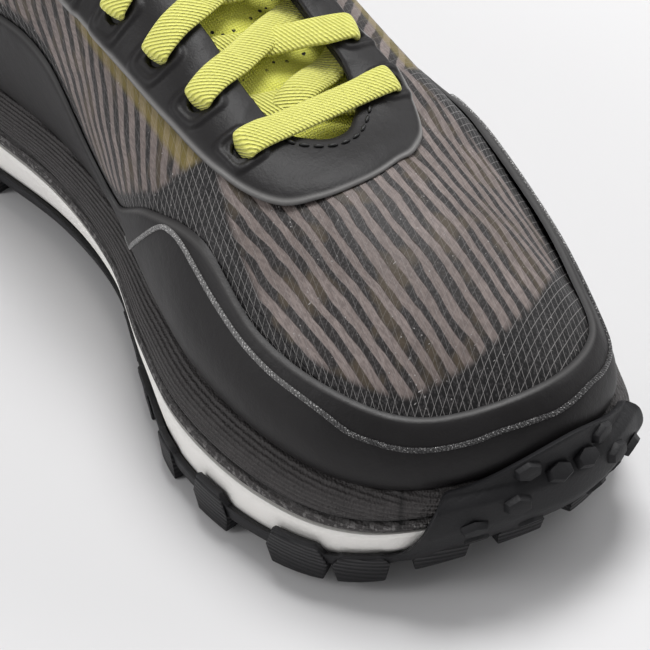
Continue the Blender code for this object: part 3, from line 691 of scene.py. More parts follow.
def wall_top(s):
    """Level of the rubber's upper edge: low along the sides, and over the rim at the toe."""
    near_toe = SIDE - np.abs(np.mod(s, LOOP) - SIDE)
    top = (smooth_step((near_toe - WRAP_FROM) / (WRAP_TO - WRAP_FROM)) * (1.0 - WRAP_EDGE)
           + smooth_step((near_toe - WRAP_TO) / (SIDE - WRAP_TO)) * (WRAP_TOP - 1.0) + WRAP_EDGE)
    return top


ALL_LUGS = EDGE_LUGS + tuple((LOOP - row[0],) + row[1:] for row in EDGE_LUGS[1:])


def tab_top(s):
    """The wall's edge with its tabs, which climb the foam beside each lug."""
    top = wall_top(s)
    for middle, half, tab, tall in ALL_LUGS:
        gap = np.abs(np.mod(s - middle + LOOP / 2, LOOP) - LOOP / 2)
        flat = 1 - smooth_step((gap - half * 0.72) / (half * 0.22))
        top = np.maximum(top, WRAP_EDGE + (tab - WRAP_EDGE) * flat)
    return top


WRAP_FINE = crom(np.array(list(WRAP.values())), np.linspace(0, len(WRAP) - 1, 400))


def wall_inset(s, level):
    return RIM_INSET * (np.interp(level, WRAP_FINE[:, 0], WRAP_FINE[:, 1]) * round_loop(column("rim"), s)
                        + np.interp(level, WRAP_FINE[:, 0], WRAP_FINE[:, 2]) * round_loop(column("foot"), s))


TRAY_ROWS = 52


def tray_place(across, up):
    """Section of the tray: in under the plate, round its corner, up the wall, over the lip, down inside."""
    s = across * LOOP
    top = tab_top(s)
    outer_wall = CLEAR + RUBBER
    at = up * (TRAY_ROWS - 1)
    keys = np.array([0.0, 2.0, 5.0, 40.0, 43.0, 51.0])
    level = np.stack([0 * s, 0 * s, 0 * s, top, top, 0 * s], 0)
    off = np.array([-0.030, -0.004, outer_wall, outer_wall, CLEAR, CLEAR])
    rise = np.array([-PLATE - CLEAR, -PLATE - CLEAR, -PLATE * 0.55, 0.0, 0.0, -CLEAR])
    k = np.clip(np.searchsorted(keys, at, side="right") - 1, 0, len(keys) - 2)
    f = (at - keys[k]) / (keys[k + 1] - keys[k])
    pick = np.arange(len(s))
    lev = level[k, pick] * (1 - f) + level[k + 1, pick] * f
    corner = np.where(k == 1, np.sin(f * np.pi / 2), np.where(k == 3, 1 - np.cos(f * np.pi / 2), f))
    o = off[k] * (1 - corner) + off[k + 1] * corner
    sink = np.where(k == 1, 1 - np.cos(f * np.pi / 2), f)
    r = rise[k] * (1 - sink) + rise[k + 1] * sink
    lip = np.where(k == 3, np.sin(np.pi * f) * LIP, 0.0)
    climbing = np.clip((top - WRAP_EDGE) / (1 - WRAP_EDGE), 0, 1)
    o = o + CLIMB_SWELL * np.sin(np.pi * climbing)
    p, _ = outline(s, wall_inset(s, lev) - o)
    return np.column_stack([p, sole_z(p[:, 0], lev) + r + lip])


def no_ribs(across, up):
    return {"ribs": 0 * up}


surface("outsole_tray", tray_place, 864, TRAY_ROWS - 1, rubber, ("outsole",), marks=no_ribs)

bm = bmesh.new()
for at, up in BUMPER_STUDS:
    for station in (at, LOOP - at):
        stations, levels = np.array([station, station + 0.03, station]), np.array([up, up, up + 0.05])
        edge, _ = outline(stations, wall_inset(stations, levels) - CLEAR - RUBBER - CLIMB_SWELL)
        here, beside, above = np.column_stack([edge, sole_z(edge[:, 0], levels)])
        outwards = Vector(np.cross(beside - here, above - here)).normalized()
        level_way = Vector(beside - here).normalized()
        turned = Matrix((level_way, outwards.cross(level_way), outwards)).transposed().to_4x4()
        seated = Matrix.Translation(here) @ turned @ Matrix.Diagonal((1.45, 1.0, 1.0, 1.0))
        bmesh.ops.create_cone(bm, segments=6, radius1=STUD_RADIUS, radius2=STUD_RADIUS * 0.80,
                              depth=STUD_RISE * 2, cap_ends=True, matrix=seated)
bmesh.ops.bevel(bm, geom=bm.edges[:], offset=0.00018, offset_type="OFFSET", segments=2, profile=0.5,
                affect="EDGES", material=-1, clamp_overlap=True)
bmesh.ops.recalc_face_normals(bm, faces=bm.faces)
finish_piece("bumper_studs", bm, rubber, smooth=30)


def block(bm, ring, softness):
    """A lug from its corner sections: rings bridged and capped, then bevelled."""
    loops = []
    for points in ring:
        verts = [bm.verts.new(p) for p in points]
        loops.append([bm.edges.new((a, b)) for a, b in zip(verts, verts[1:] + verts[:1])])
    made = []
    for first, second in zip(loops, loops[1:]):
        made += bmesh.ops.bridge_loops(bm, edges=first + second)["faces"]
    for loop in (loops[0], loops[-1]):
        made += bmesh.ops.contextual_create(bm, geom=loop)["faces"]
    bmesh.ops.recalc_face_normals(bm, faces=made)
    edges = {e for face in made for e in face.edges if len(e.link_faces) == 2 and e.calc_face_angle(0) > 0.35}
    bmesh.ops.bevel(bm, geom=list(edges), offset=softness, offset_type="OFFSET", segments=2, profile=0.5,
                    affect="EDGES", material=-1, clamp_overlap=True)


bm = bmesh.new()
mark = bm.verts.layers.float.new("ribs")
proud = CLEAR + RUBBER + TAB_PROUD
for middle, half, tab, tall in ALL_LUGS:
    sections = []
    for shift in np.linspace(-1, 1, 5):
        bottom = -PLATE - CLEAR - LUG * tall
        # share of the lug's length, level on the foam, metres outwards, and metres above that level
        rows = ((0.74, tab - 0.015, CLEAR + RUBBER * 0.45, 0.0), (0.78, tab - 0.05, proud, 0.0),
                (1.00, 0.0, proud, -PLATE * 0.6), (0.90, 0.0, RUBBER + 0.0004, bottom),
                (0.84, 0.0, RUBBER - LUG_DEPTH * 0.8, bottom), (0.94, 0.0, RUBBER - LUG_DEPTH, -PLATE * 0.5),
                (1.00, 0.0, CLEAR + RUBBER * 0.5, -PLATE * 0.5))
        points = []
        for width, level, off, rise in rows:
            s = np.array([middle + shift * half * width])
            p, _ = outline(s, wall_inset(s, np.array([max(level, 0.0)])) - off)
            points.append((p[0, 0], p[0, 1], sole_z(p[:, 0], level)[0] + rise))
        sections.append(points)
    block(bm, sections, 0.0004)
for at, half in CHEVRONS:
    for hand in (-1, 1):
        x0 = (at - MIDDLE) * LENGTH
        sweep = CHEVRON_SWEEP * (1 if at > 0.45 else -1)
        mid = np.interp(at, [0.1, 0.5, 0.75, 1], [0.01, 0.06, 0.01, 0.03]) * BALL_WIDTH - ASIDE
        a, b = 0.035 * BALL_WIDTH, half * BALL_WIDTH
        sections = []
        for z, grow in ((-LUG, 0.0), (0.5 * PLATE, 0.0010)):
            plan = ((x0 + CHEVRON_LENGTH / 2 + grow, a - grow),
                    (x0 + CHEVRON_LENGTH / 2 - sweep + grow, b + grow),
                    (x0 - CHEVRON_LENGTH / 2 - sweep * 0.7 - grow, b + grow),
                    (x0 - CHEVRON_LENGTH / 2 - grow, a - grow))
            sections.append([(x, mid + hand * y, ground(np.array([x]))[0] + z) for x, y in plan])
        block(bm, sections, 0.0005)
for vert in bm.verts:
    lift = vert.co.z - ground(np.array([vert.co.x]))[0]
    vert[mark] = float(np.clip((lift - 0.0002) / 0.0005, 0, 1))
finish_piece("outsole_lugs", bm, rubber, smooth=30)


# Insole
# A thin moulded sockliner with a dark knitted cover. It lies loose on the foam, within the foot of the upper,
# and shows only through the collar.
WALL = 0.0020             # mesh, film and lining together
INSOLE = 0.0040
sock = Shader("sockliner_knit", roughness=0.9, Specular_IOR_Level=0.2)
knit = sock.cells(0.0012, sock.at(scale=(1.0, 0.6, 1.0)))
sock.set("Base Color", sock.mix(knit, (0.030, 0.030, 0.033), (0.055, 0.055, 0.060)))
sock.bump(knit, 0.0003)
INSOLE_SECTION = ((0.90, 0.2), (0.0, 0.2), (0.0, 0.5), (0.0005, 0.8), (0.0016, 1.0), (0.006, 0.96),
                  (0.90, 0.90))


def insole_place(across, up):
    s = across * LOOP
    row = np.rint(up * (len(INSOLE_SECTION) - 1)).astype(int)
    share_in, share_up = np.array(INSOLE_SECTION)[row].T
    edge = RIM_INSET * round_loop(column("rim"), s) + RAND + SEAT + WALL + 3 * CLEAR
    p, _ = outline(s, edge + np.where(share_in > 0.5, 0.030, share_in))
    return np.column_stack([p, sole_z(p[:, 0], 1.0) + CLEAR + share_up * (INSOLE - CLEAR)])


surface("sockliner", insole_place, 216, len(INSOLE_SECTION) - 1, sock, ("insole",))


# Upper
# One piece: light ripstop under clear film, over a darker mesh and a soft lining. Bars knitted into the under
# layer show through, wavy along the toe and leaning on the sides. The tip, the border inside the rand and a
# wedge by the eyestay are plain and dark, and white threads cross all of it in long diamonds.
CREASE_HALF = 0.34        # half width of a crease, in stations
CREASES = ((9.30, 0.62, 0.55, 0.0009), (8.75, 0.74, 0.40, 0.0007), (9.95, 0.66, 0.60, 0.0006))


def vamp_creases(s, t):
    """Soft troughs across the ball, each from one side towards the other: station, height, length, depth."""
    sink = 0.0
    for at, up, long, deep in CREASES:
        for middle in (at, LOOP - at - 0.1):
            across = (s - middle) / CREASE_HALF + (t - up) * 0.8
            sink = sink + deep * np.exp(-across ** 2) * np.exp(-((t - up) / long) ** 4) * (t > 0.35)
    return -sink


COLLAR_ROLL = 0.0024      # swell of the padded collar edge
OUTSIDE = 0.62            # share of the wall's section that is its outside, and where its lining starts
LINING = 0.70


def wall_way(up):
    """Whether a point of the wall's section is outside, and its share of the way up the upper."""
    outside = up < OUTSIDE
    return outside, np.where(outside, up / OUTSIDE, np.where(up < LINING, 1.0, (1 - up) / 0.30))


def upper_place(across, up):
    """Section of the wall: up the outside, round the padded collar edge, and down the lining."""
    s = across * LOOP
    outside, t = wall_way(up)
    turning = np.clip((up - OUTSIDE) / 0.08, 0, 1)
    collar = smooth_step((5.2 - np.minimum(s, LOOP - s)) / 0.8)
    swell = collar * COLLAR_ROLL * np.exp(-((1 - t) / 0.16) ** 2)
    off = np.where(outside, swell * 0.35 + vamp_creases(s, t),
                   np.where(up < LINING, swell * 0.35 * (1 - turning) - (WALL + swell) * turning,
                            -WALL - swell))
    p = upper(s, t, off)
    p[:, 2] += np.where(up < LINING, np.sin(np.pi * turning) * (0.0008 + 0.0010 * collar), 0.0) * (~outside)
    return p


BEHIND_THROAT = (0.0, 0.098)           # x and z of the ridge line behind the throat's front
SIDE_ENDS = (0.0457, 0.0689, 0.72)     # of the dark wedge's two edges: x, z and lean
TOE_STARTS = (0.0588, 0.0733, -1.95)


def cloth_marks(across, up):
    """Where each point lies in the cloth, in metres along and across, and which panel it is in."""
    s = across * LOOP
    outside, t = wall_way(up)
    p = upper(s, t)
    ridge = upper(np.full(200, SIDE), np.linspace(1, 0, 200))
    ridge = np.vstack([BEHIND_THROAT, ridge[:, (0, 2)]])
    fall = p[:, 2] - np.interp(p[:, 0], *ridge.T)
    edge_t = rand_top(s)
    length = np.linalg.norm(upper(s, edge_t + 0.02) - upper(s, edge_t - 0.02), axis=1) / 0.04
    side_end, toe_start = (p[:, 0] - x0 - (p[:, 2] - z0) * lean for x0, z0, lean in (SIDE_ENDS, TOE_STARTS))
    return {"cloth_x": p[:, 0], "cloth_y": np.sign(p[:, 1]) * np.hypot(p[:, 1], fall),
            "to_rand": np.clip((t - edge_t) * length, -0.02, 0.06), "side_end": side_end,
            "toe_start": toe_start, "lining": np.where(outside, 0.0, 1.0)}


ripstop = Shader("ripstop_over_mesh", Specular_IOR_Level=0.32)
x, y = ripstop.attribute("cloth_x"), ripstop.attribute("cloth_y")
to_rand, side_end, toe_start = (ripstop.attribute(name) for name in ("to_rand", "side_end", "toe_start"))
lining = ripstop.attribute("lining")
combine = ripstop.node("ShaderNodeCombineXYZ", None, {0: x, 1: y, 2: 0.0})


def stretched(sx, sy):
    return ripstop.node("ShaderNodeVectorMath", {"operation": "MULTIPLY"}, {0: combine, 1: (sx, sy, 1.0)})


# Dark bars: wavy along the toe, leaning on the sides
drift = ripstop.noise(0.034, 2.0, combine) - 0.5
ripple = ripstop.noise(0.0060, 2.0, stretched(0.45, 1.0)) - 0.5
swell = ripstop.noise(0.011, 3.0, stretched(0.35, 1.0))
TOE_PITCH, SIDE_PITCH, THREAD_PITCH = 0.0042, 0.0040, 0.00175
toe_phase = y + drift * 0.0036 + ripple * 0.0022
toe_bars = (toe_phase.wave(TOE_PITCH) + (swell - 0.5) * 1.0).above(0.56, 0.20)
side_phase = x * 0.70 + y * 0.70 + drift * 0.0040 + ripple * 0.0016
side_bars = (side_phase.wave(SIDE_PITCH) + (swell - 0.5) * 0.8).above(0.54, 0.25)
on_side = 1.0 - side_end.above(0.0, 0.0030)
bars = ripstop.mix(on_side, toe_bars, side_bars)

# Panels: where the light under layer shows
uneven = ripstop.noise(0.014, 3.0, combine) - 0.5
TIP_AT, TIP_MIDDLE, TIP_BOW = 0.1268, -0.010, 9.0
BORDER = 0.0040
tip = (x + (y - TIP_MIDDLE).power(2.0) * TIP_BOW + uneven * 0.003).above(TIP_AT, 0.0020)
border = 1.0 - (to_rand + uneven * 0.002).above(BORDER, 0.0022)
toe_field = (toe_start + uneven * 0.002).above(0.0, 0.0030) * (1.0 - tip)
light_field = (on_side * x.above(-0.098, 0.020)).either(toe_field) * (1.0 - border)

fibre = ripstop.noise(0.0011, 4.0, stretched(0.5, 1.8))
mottle = ripstop.noise(0.007, 3.0, combine)
shade = ripstop.noise(0.030, 2.0, combine)
taupe = ripstop.mix(mottle, (0.200, 0.163, 0.152), (0.318, 0.265, 0.248))
taupe = ripstop.mix(shade.above(0.48, 0.30) * 0.5, taupe, (0.115, 0.090, 0.080))
taupe = ripstop.mix(fibre.above(0.50, 0.20) * 0.45, taupe, (0.085, 0.068, 0.064))
net = ripstop.cells(0.00062, combine)
dark = ripstop.mix(net.above(0.40, 0.30), (0.0360, 0.0335, 0.0345), (0.0070, 0.0066, 0.0070))
bronze = ripstop.mix(ripstop.noise(0.012, 2.0, combine).above(0.56, 0.12), dark, (0.058, 0.043, 0.026))
under = ripstop.mix(bars * 0.94, taupe, bronze)
under = ripstop.mix(light_field, dark, under)

# A plain mustard strip on the lining, seen through the side panel along the eyestay
_, _, height = ripstop.split(ripstop.at())
strip = 1.0 - (height - 0.0806 + (x - 0.0111) * 0.181).absolute().above(0.0026, 0.0016)
under = ripstop.mix(strip * on_side * x.above(-0.006, 0.010) * 0.55, under, (0.250, 0.190, 0.036))

# White threads in long diamonds, some of them broken, and a few caught fibres
break_up = ripstop.noise(0.0030, 3.0, combine).above(0.34, 0.22)


def thread(angle, width):
    """One family of parallel threads, whose normal lies at angle to the shoe's length."""
    along = x * float(np.cos(angle)) + y * float(np.sin(angle)) + ripple * 0.0003
    share_wide = width / THREAD_PITCH
    beside_line = (along * (1.0 / THREAD_PITCH)).math("FRACT").math("SUBTRACT", 0.5).absolute()
    return beside_line.above(0.5 - share_wide / 2, share_wide * 0.5)


threads = thread(1.27, 0.00013).either(thread(0.47, 0.00013))
knots = (1.0 - ripstop.cells(0.0021, combine).above(0.085, 0.05)) * ripstop.noise(
    0.013, 2.0, combine).above(0.50, 0.10)
at_tip = x.above(0.115, 0.02)
fluff = ripstop.noise(0.0012, 2.0, stretched(1.6, 0.5)).above(0.72, 0.03) * ripstop.noise(
    0.012, 2.0, combine).above(0.60 - at_tip * 0.12, 0.08)
thread_mask = (threads * break_up * (0.62 - light_field * 0.42)).either(fluff).either(knots * 0.8)
outer_colour = ripstop.mix(thread_mask * 0.75, under, (0.50, 0.48, 0.47))
inner_colour = ripstop.mix(ripstop.cells(0.0011), (0.012, 0.012, 0.013), (0.030, 0.029, 0.031))
ripstop.set("Base Color", ripstop.mix(lining, outer_colour, inner_colour))
ripstop.set("Roughness", 0.46 + 0.16 * mottle + 0.25 * lining - thread_mask * 0.15)
relief = ripstop.bump(bars * 0.6 + fibre * 0.4, 0.00025)
ripstop.bump(thread_mask + net * 0.3, 0.00012, relief)
surface("upper_shell", upper_place, 576, 96, ripstop, ("upper",), closed=(True, True),
        marks=cloth_marks)


# Piping
# A soft cord of twisted reflective yarn, bonded on the rand in two lengths, one a side. Each climbs from the
# foam at mid-foot and follows the rand to the middle of the toe. A painted highlight brightens the cord and
# its glitter back from the toe, so it is darker where it turns the front.
PIPING = (
    (6.22, 0.02), (6.34, 0.07), (6.56, 0.116), (6.87, 0.239), (7.28, 0.398), (7.53, 0.444),
    (7.79, 0.452), (8.09, 0.432), (8.47, 0.394), (8.80, 0.359), (9.21, 0.328), (9.58, 0.309),
    (9.87, 0.286), (10.15, 0.251), (10.41, 0.236), (10.68, 0.220), (10.94, 0.212), (11.26, 0.212),
    (11.55, 0.224), (12.00, 0.216),
)                         # station and height, the inner side
PIPING_WIDTH = 0.0013
PIPING_HEIGHT = 0.0006
PIPING_TOP = 0.975        # of the rand's height, the most the cord may rise to


def swept(name, path, normals, section, look, stands_for=(), smooth=60):
    """A piece swept along a path. Its section gives points beside and above the path, in metres, at a share
    of the way along; marks hold the distance along it and across it."""
    path, normals = np.asarray(path, float), np.asarray(normals, float)
    way = np.gradient(path, axis=0)
    way /= np.linalg.norm(way, axis=1, keepdims=True)
    beside = np.cross(normals, way)
    beside /= np.linalg.norm(beside, axis=1, keepdims=True)
    above = np.cross(way, beside)
    length = np.concatenate([[0], np.cumsum(np.linalg.norm(np.diff(path, axis=0), axis=1))])
    count = len(section(0.0))

    def place(across, up):
        row = np.rint(up * (len(path) - 1)).astype(int)
        corner = np.rint(across * count).astype(int) % count
        shape = np.array([section(r / (len(path) - 1)) for r in range(len(path))])
        a, b = shape[row, corner].T
        return path[row] + beside[row] * a[:, None] + above[row] * b[:, None]

    def marks(across, up):
        row = np.rint(up * (len(path) - 1)).astype(int)
        corner = np.rint(across * count).astype(int) % count
        shape = np.array(section(0.5))
        return {"run": length[row], "wide": shape[corner, 0]}
    return surface(name, place, count, len(path) - 1, look, stands_for, marks=marks, smooth=smooth)


def rounded(width, height, points=16, square=0.55):
    """Section of a flat cord with round edges."""
    turn = np.linspace(0, 2 * np.pi, points, endpoint=False)
    c, s = np.cos(turn), np.sin(turn)
    return np.column_stack([np.sign(c) * np.abs(c) ** square * width / 2,
                            np.sign(s) * np.abs(s) ** 0.8 * height / 2])


reflective = Shader("reflective_cord", roughness=0.35, Specular_IOR_Level=0.6)
run, wide = reflective.attribute("run"), reflective.attribute("wide")
twist = (run + wide * 0.9).wave(0.0009)
glitter = 1.0 - reflective.cells(0.00055).above(0.30, 0.2)
station_mark = reflective.split(reflective.at())[0]
# Painted highlight: brighter back from the toe's front, and darker where the cord turns the front
painted_highlight_zone = 1.0 - station_mark.above(0.108, 0.040)
silver = reflective.mix(glitter * (0.35 + 0.65 * painted_highlight_zone), (0.020, 0.019, 0.020), (0.78, 0.77, 0.76))
silver = reflective.mix(painted_highlight_zone * 0.45, silver, (0.34, 0.335, 0.33))
reflective.set("Base Color", silver)
reflective.set("Metallic", glitter * 0.35)
reflective.bump(twist, 0.00022)
for side_name, hand in (("inner", 1), ("outer", -1)):
    keys = crom(np.array(PIPING), np.linspace(0, len(PIPING) - 1, 220))
    s = keys[:, 0] if hand == 1 else LOOP - keys[:, 0]
    t = np.clip(keys[:, 1], 0.02, rand_top(s) * PIPING_TOP)
    lift = SEAT + RAND
    path = upper(s, t, lift)
    normals = upper(s, t, lift + 0.001) - path

    def cord_section(along):
        thin = 0.35 + 0.65 * smooth_step(along / 0.04)
        return rounded(PIPING_WIDTH * thin, PIPING_HEIGHT * 2 * thin, 12)

    swept("reflective_piping_" + side_name, path, normals, cord_section, reflective)


# Eyestay
# A moulded frame round the throat in the same film, bonded over the upper, with a bevelled edge under a
# painted highlight, and six eyelets a side, each sunk in a raised square with round corners, with painted
# shade in the hole.
STAY = 0.0014             # moulded frame round the throat
PAIRS = 6                 # of eyelets
EYELET_X = 0.0565         # front pair, ahead of the middle of the sole
EYELET_Y = -0.0010        # middle of the row, off the centre line
EYELET_ACROSS = 0.043     # centre to centre, front pair
EYELET_SPREAD = 0.0006    # each pair wider than the one ahead of it, on each side
EYELET_PITCH = 0.0176     # along the throat
EYELET_RADIUS = 0.0024
EYELET_FRAME = 0.0054     # half width of the raised square
EYELET_EMBOSS = 0.0007
EYELET_SINK = 0.0022
STAY_START = 14 * LOOP / 72            # station of its heel end on the inner side
STAY_SPAN = LOOP - 2 * STAY_START


def find(x, y, start):
    """Station and height on the upper that lie over a point in plan."""
    s, t = float(start), 0.85
    e = 1e-3
    for _ in range(14):
        miss = upper(s, t)[:2] - (x, y)
        ds, dt = (upper(s + e, t)[:2] - upper(s, t)[:2]) / e, (upper(s, t - e)[:2] - upper(s, t)[:2]) / -e
        step = np.linalg.lstsq(np.column_stack([ds, dt]), -miss, rcond=None)[0]
        s, t = s + 0.7 * float(step[0]), float(np.clip(t + 0.7 * step[1], 0.4, 0.99))
    return s, t


eyelets = {-1: [], 1: []}
for hand, start in ((-1, 8.2), (1, 15.6)):
    x_at, y_at = EYELET_X, hand * EYELET_ACROSS / 2 + EYELET_Y
    at = start
    for pair in range(PAIRS):
        at, t_at = find(x_at, y_at, at)
        eyelets[hand].append((at, t_at))
        x_at -= EYELET_PITCH * 0.94
        y_at += hand * EYELET_SPREAD


def eyelet_forms(s, t):
    """Height of the raised squares and the sunk holes over the eyestay's face."""
    p = upper(s, t)
    rise = np.zeros(len(s))
    for hand in (-1, 1):
        centres = np.array([upper(*e) for e in eyelets[hand]])
        for i, centre in enumerate(centres):
            near = centres[max(i - 1, 0)] - centres[min(i + 1, PAIRS - 1)]
            ahead = near / np.linalg.norm(near)
            side_way = np.cross((0.0, 0.0, 1.0), ahead)
            side_way /= np.linalg.norm(side_way)
            d = p - centre
            a, b = d @ ahead, d @ side_way
            far = np.linalg.norm(d, axis=1)
            box = (np.abs(a / 1.12) ** 4 + np.abs(b) ** 4) ** 0.25
            slope = smooth_step((EYELET_FRAME - box) / 0.0012)
            dish = smooth_step((EYELET_FRAME * 0.70 - box) / 0.0010) * 0.8
            rise += EYELET_EMBOSS * np.clip(slope - dish, 0, 1)
            rise -= EYELET_SINK * smooth_step((EYELET_RADIUS * 1.12 - far) / 0.0008)
    return rise


def stay_on_upper(across, up):
    """Where a point of the frame lies: outer face or not, share of its height, station, foot and height."""
    s = STAY_START + across * STAY_SPAN
    outside, way = there_and_back(up)
    t_low = round_loop(column("stay_m", "stay_l"), s)
    return outside, way, s, t_low, t_low + (1 - t_low) * way


def stay_place(across, up):
    outside, way, s, t_low, t = stay_on_upper(across, up)
    ends = np.minimum(across, 1 - across) * STAY_SPAN / 0.10
    fall_low = np.clip((t - t_low) / 0.055, 0, 1)
    fall_top = np.clip((1 - t) / 0.020 + 0.25, 0, 1)
    round_off = np.minimum(np.minimum(fall_low, fall_top), np.clip(ends + 0.2, 0, 1))
    full = SEAT + STAY * np.sqrt(1 - (1 - round_off) ** 2)
    off = np.where(outside, np.maximum(full, SEAT + 1e-5), SEAT)
    off = off + np.where(outside, eyelet_forms(s, t), 0.0)
    return upper(s, t, off)


def stay_marks(across, up):
    outside, way, s, _, t = stay_on_upper(across, up)
    p = upper(s, t)
    # Where painted shade darkens each eyelet hole
    hole = np.zeros(len(s))
    for hand in (-1, 1):
        for e in eyelets[hand]:
            far = np.linalg.norm(p - upper(*e), axis=1)
            hole = np.maximum(hole, smooth_step((EYELET_RADIUS * 1.15 - far) / 0.0006))
    # edge: the painted highlight along the bevel at the frame's lower edge
    return {"edge": np.exp(-((way - 0.034) / 0.030) ** 2) * outside, "hole": hole}


stay_film = film("eyestay_film")
surface("moulded_eyestay", stay_place, 700, 110, stay_film, ("eyestay",),
        closed=(False, True), marks=stay_marks)


# Tongue
# A padded tongue in lime ripstop with small black dots, and in glittery lime knit at the foot of the throat.
# It lies under the eyestay and the laces, held at the front of the throat and free at its top.
TONGUE = 0.0035
TONGUE_TOP = 0.032        # beyond the end of the eyestay, along the throat
TONGUE_CROWN = 0.0015     # swell between the edges of the throat
LACE_THICK = 0.0018
LACE_ROOM = 0.0006        # flat lace over the curve of the eyestay
lime_cloth = Shader("tongue_cloth", roughness=0.75, Specular_IOR_Level=0.3, Sheen_Weight=0.15)
LIME = (0.950, 0.945, 0.240)
LIME_DEEP = (0.700, 0.710, 0.090)
tx, ty, _ = lime_cloth.split(lime_cloth.at())
weave = (tx.wave(0.00075) * ty.wave(0.00075)).power(0.8)
blotch = lime_cloth.noise(0.006, 3.0)
base = lime_cloth.mix(weave * 0.55 + blotch * 0.30, LIME_DEEP, LIME)
dots = (1.0 - lime_cloth.cells(0.0021, lime_cloth.at(scale=(1.0, 1.0, 0.2))).above(0.23, 0.05))
dot_field = lime_cloth.noise(0.012, 2.0).above(0.42, 0.05) * (1.0 - tx.above(0.036, 0.002))
base = lime_cloth.mix(dots * dot_field, base, (0.012, 0.012, 0.010))
sparkle = 1.0 - lime_cloth.cells(0.0006).above(0.20, 0.1)
knit_zone = tx.above(0.040, 0.004)
base = lime_cloth.mix(sparkle * knit_zone * 0.8, base, (0.92, 0.95, 0.45))
lime_cloth.set("Base Color", base)
lime_cloth.bump(weave + sparkle * knit_zone, 0.00020, lime_cloth.bump(blotch, 0.0006))

TONGUE_FROM = SIDE - 0.9
TONGUE_END = STAY_START + 0.35
TONGUE_TIP = ((0.4, 0.76), (0.75, 0.68), (1.0, 0.56))   # share of the way out, and of the width
TONGUE_MEETS = 9.8        # station from which it draws up to the upper, at the front of the throat


def tongue_section(along, off_extra):
    """Nine points across the tongue at a share of the way from the throat's front to its free end."""
    s_end = TONGUE_FROM + (TONGUE_END - TONGUE_FROM) * min(along, 1.0)
    hung = smooth_step((s_end - TONGUE_MEETS) / 1.2)
    laces_room = WALL + LACE_THICK + LACE_ROOM + 5 * CLEAR
    off = -(laces_room * (1 - hung) + (WALL + SEAT + CLEAR) * hung) - off_extra
    foot = np.interp(s_end, [5.0, 7.0, 9.0, 11.1], [0.72, 0.72, 0.82, 0.90])
    wings = [upper(np.full(3, v), np.linspace(foot, 1, 3), np.full(3, off)) for v in (s_end, LOOP - s_end)]
    near, far = wings[0][-1], wings[1][-1]
    f = np.array([0.25, 0.5, 0.75])[:, None]
    crown = TONGUE_CROWN * (1 - hung) * (4 * f * (1 - f)) ** 2
    middle = near + (far - near) * f + crown * np.array([0, 0, 1.0])
    return np.concatenate([wings[0], middle, wings[1][::-1]])


def tongue_rows(off_extra):
    rows = [tongue_section(k / 10, off_extra) for k in range(11)]
    base_row = rows[-1]
    way = (rows[-1][4] - rows[-2][4]) / np.linalg.norm(rows[-1][4] - rows[-2][4])
    for share_out, narrow in TONGUE_TIP:
        rows.append((base_row - base_row[4]) * [1, narrow, 1] + base_row[4] + way * TONGUE_TOP * share_out)
    return np.array(rows)


def tongue_place(across, up):
    """A pillow: both faces meet in a round edge, fuller down the middle."""
    top_rows, low_rows = tongue_rows(0.0), tongue_rows(TONGUE)
    outside, way = there_and_back(up)
    row = crom(top_rows, across * (len(top_rows) - 1))
    low = crom(low_rows, across * (len(low_rows) - 1))
    along_row = way * 8.0
    pick = np.arange(len(across))
    i = np.clip(along_row.astype(int), 0, 7)
    f = along_row - i

    def read(rows):
        p = [rows[pick, np.clip(i + k, 0, 8)] for k in (-1, 0, 1, 2)]
        g = f[:, None]
        return p[1] + 0.5 * g * (p[2] - p[0] + g * (2 * p[0] - 5 * p[1] + 4 * p[2] - p[3]
                                                     + g * (3 * (p[1] - p[2]) + p[3] - p[0])))
    a, b = read(row), read(low)
    thick = np.sqrt(np.clip(1 - np.abs(2 * way - 1) ** 6, 0, 1)) * np.sqrt(
        np.clip(1 - np.abs(2 * across - 1) ** 14, 0, 1))
    middle = (a + b) / 2
    return middle + (np.where(outside[:, None], a, b) - middle) * thick[:, None]


surface("padded_tongue", tongue_place, 180, 88, lime_cloth, ("tongue",), closed=(False, True))


# Laces
# One flat woven lace: a bar across the front pair of eyelets, then crossings that start on top of one side
# and dive under the edge of the other. It bunches up in an eyelet. The hidden ends stop at the top eyelets.
LACE_WIDTH = 0.0075
RIB = 0.0011              # pitch of the woven ribs
BUNCHED = 0.58            # width at an eyelet, as a share of the lace's width
UP = np.array([0.0, 0.0, 1.0])

lace_look = Shader("lime_lace", roughness=0.62, Specular_IOR_Level=0.3, Sheen_Weight=0.2)
run, wide = lace_look.attribute("run"), lace_look.attribute("wide")
skew = wide * 0.75
rib = (run + skew).wave(RIB)
cord_lines = wide.wave(0.0011)
braid_relief_and_shade = rib * 0.65 + rib * cord_lines * 0.35
uneven = lace_look.noise(0.004, 3.0)
# Painted shade: the lace is darker between its woven ribs and lighter on them; the bump gives their relief
yellow = lace_look.mix(braid_relief_and_shade, (0.620, 0.615, 0.090), (0.960, 0.945, 0.260))
yellow = lace_look.mix(uneven * 0.25, yellow, (0.93, 0.91, 0.32))
lace_look.set("Base Color", yellow)
lace_look.bump(braid_relief_and_shade, 0.00042, lace_look.bump(lace_look.noise(0.0006, 2.0), 0.00012))


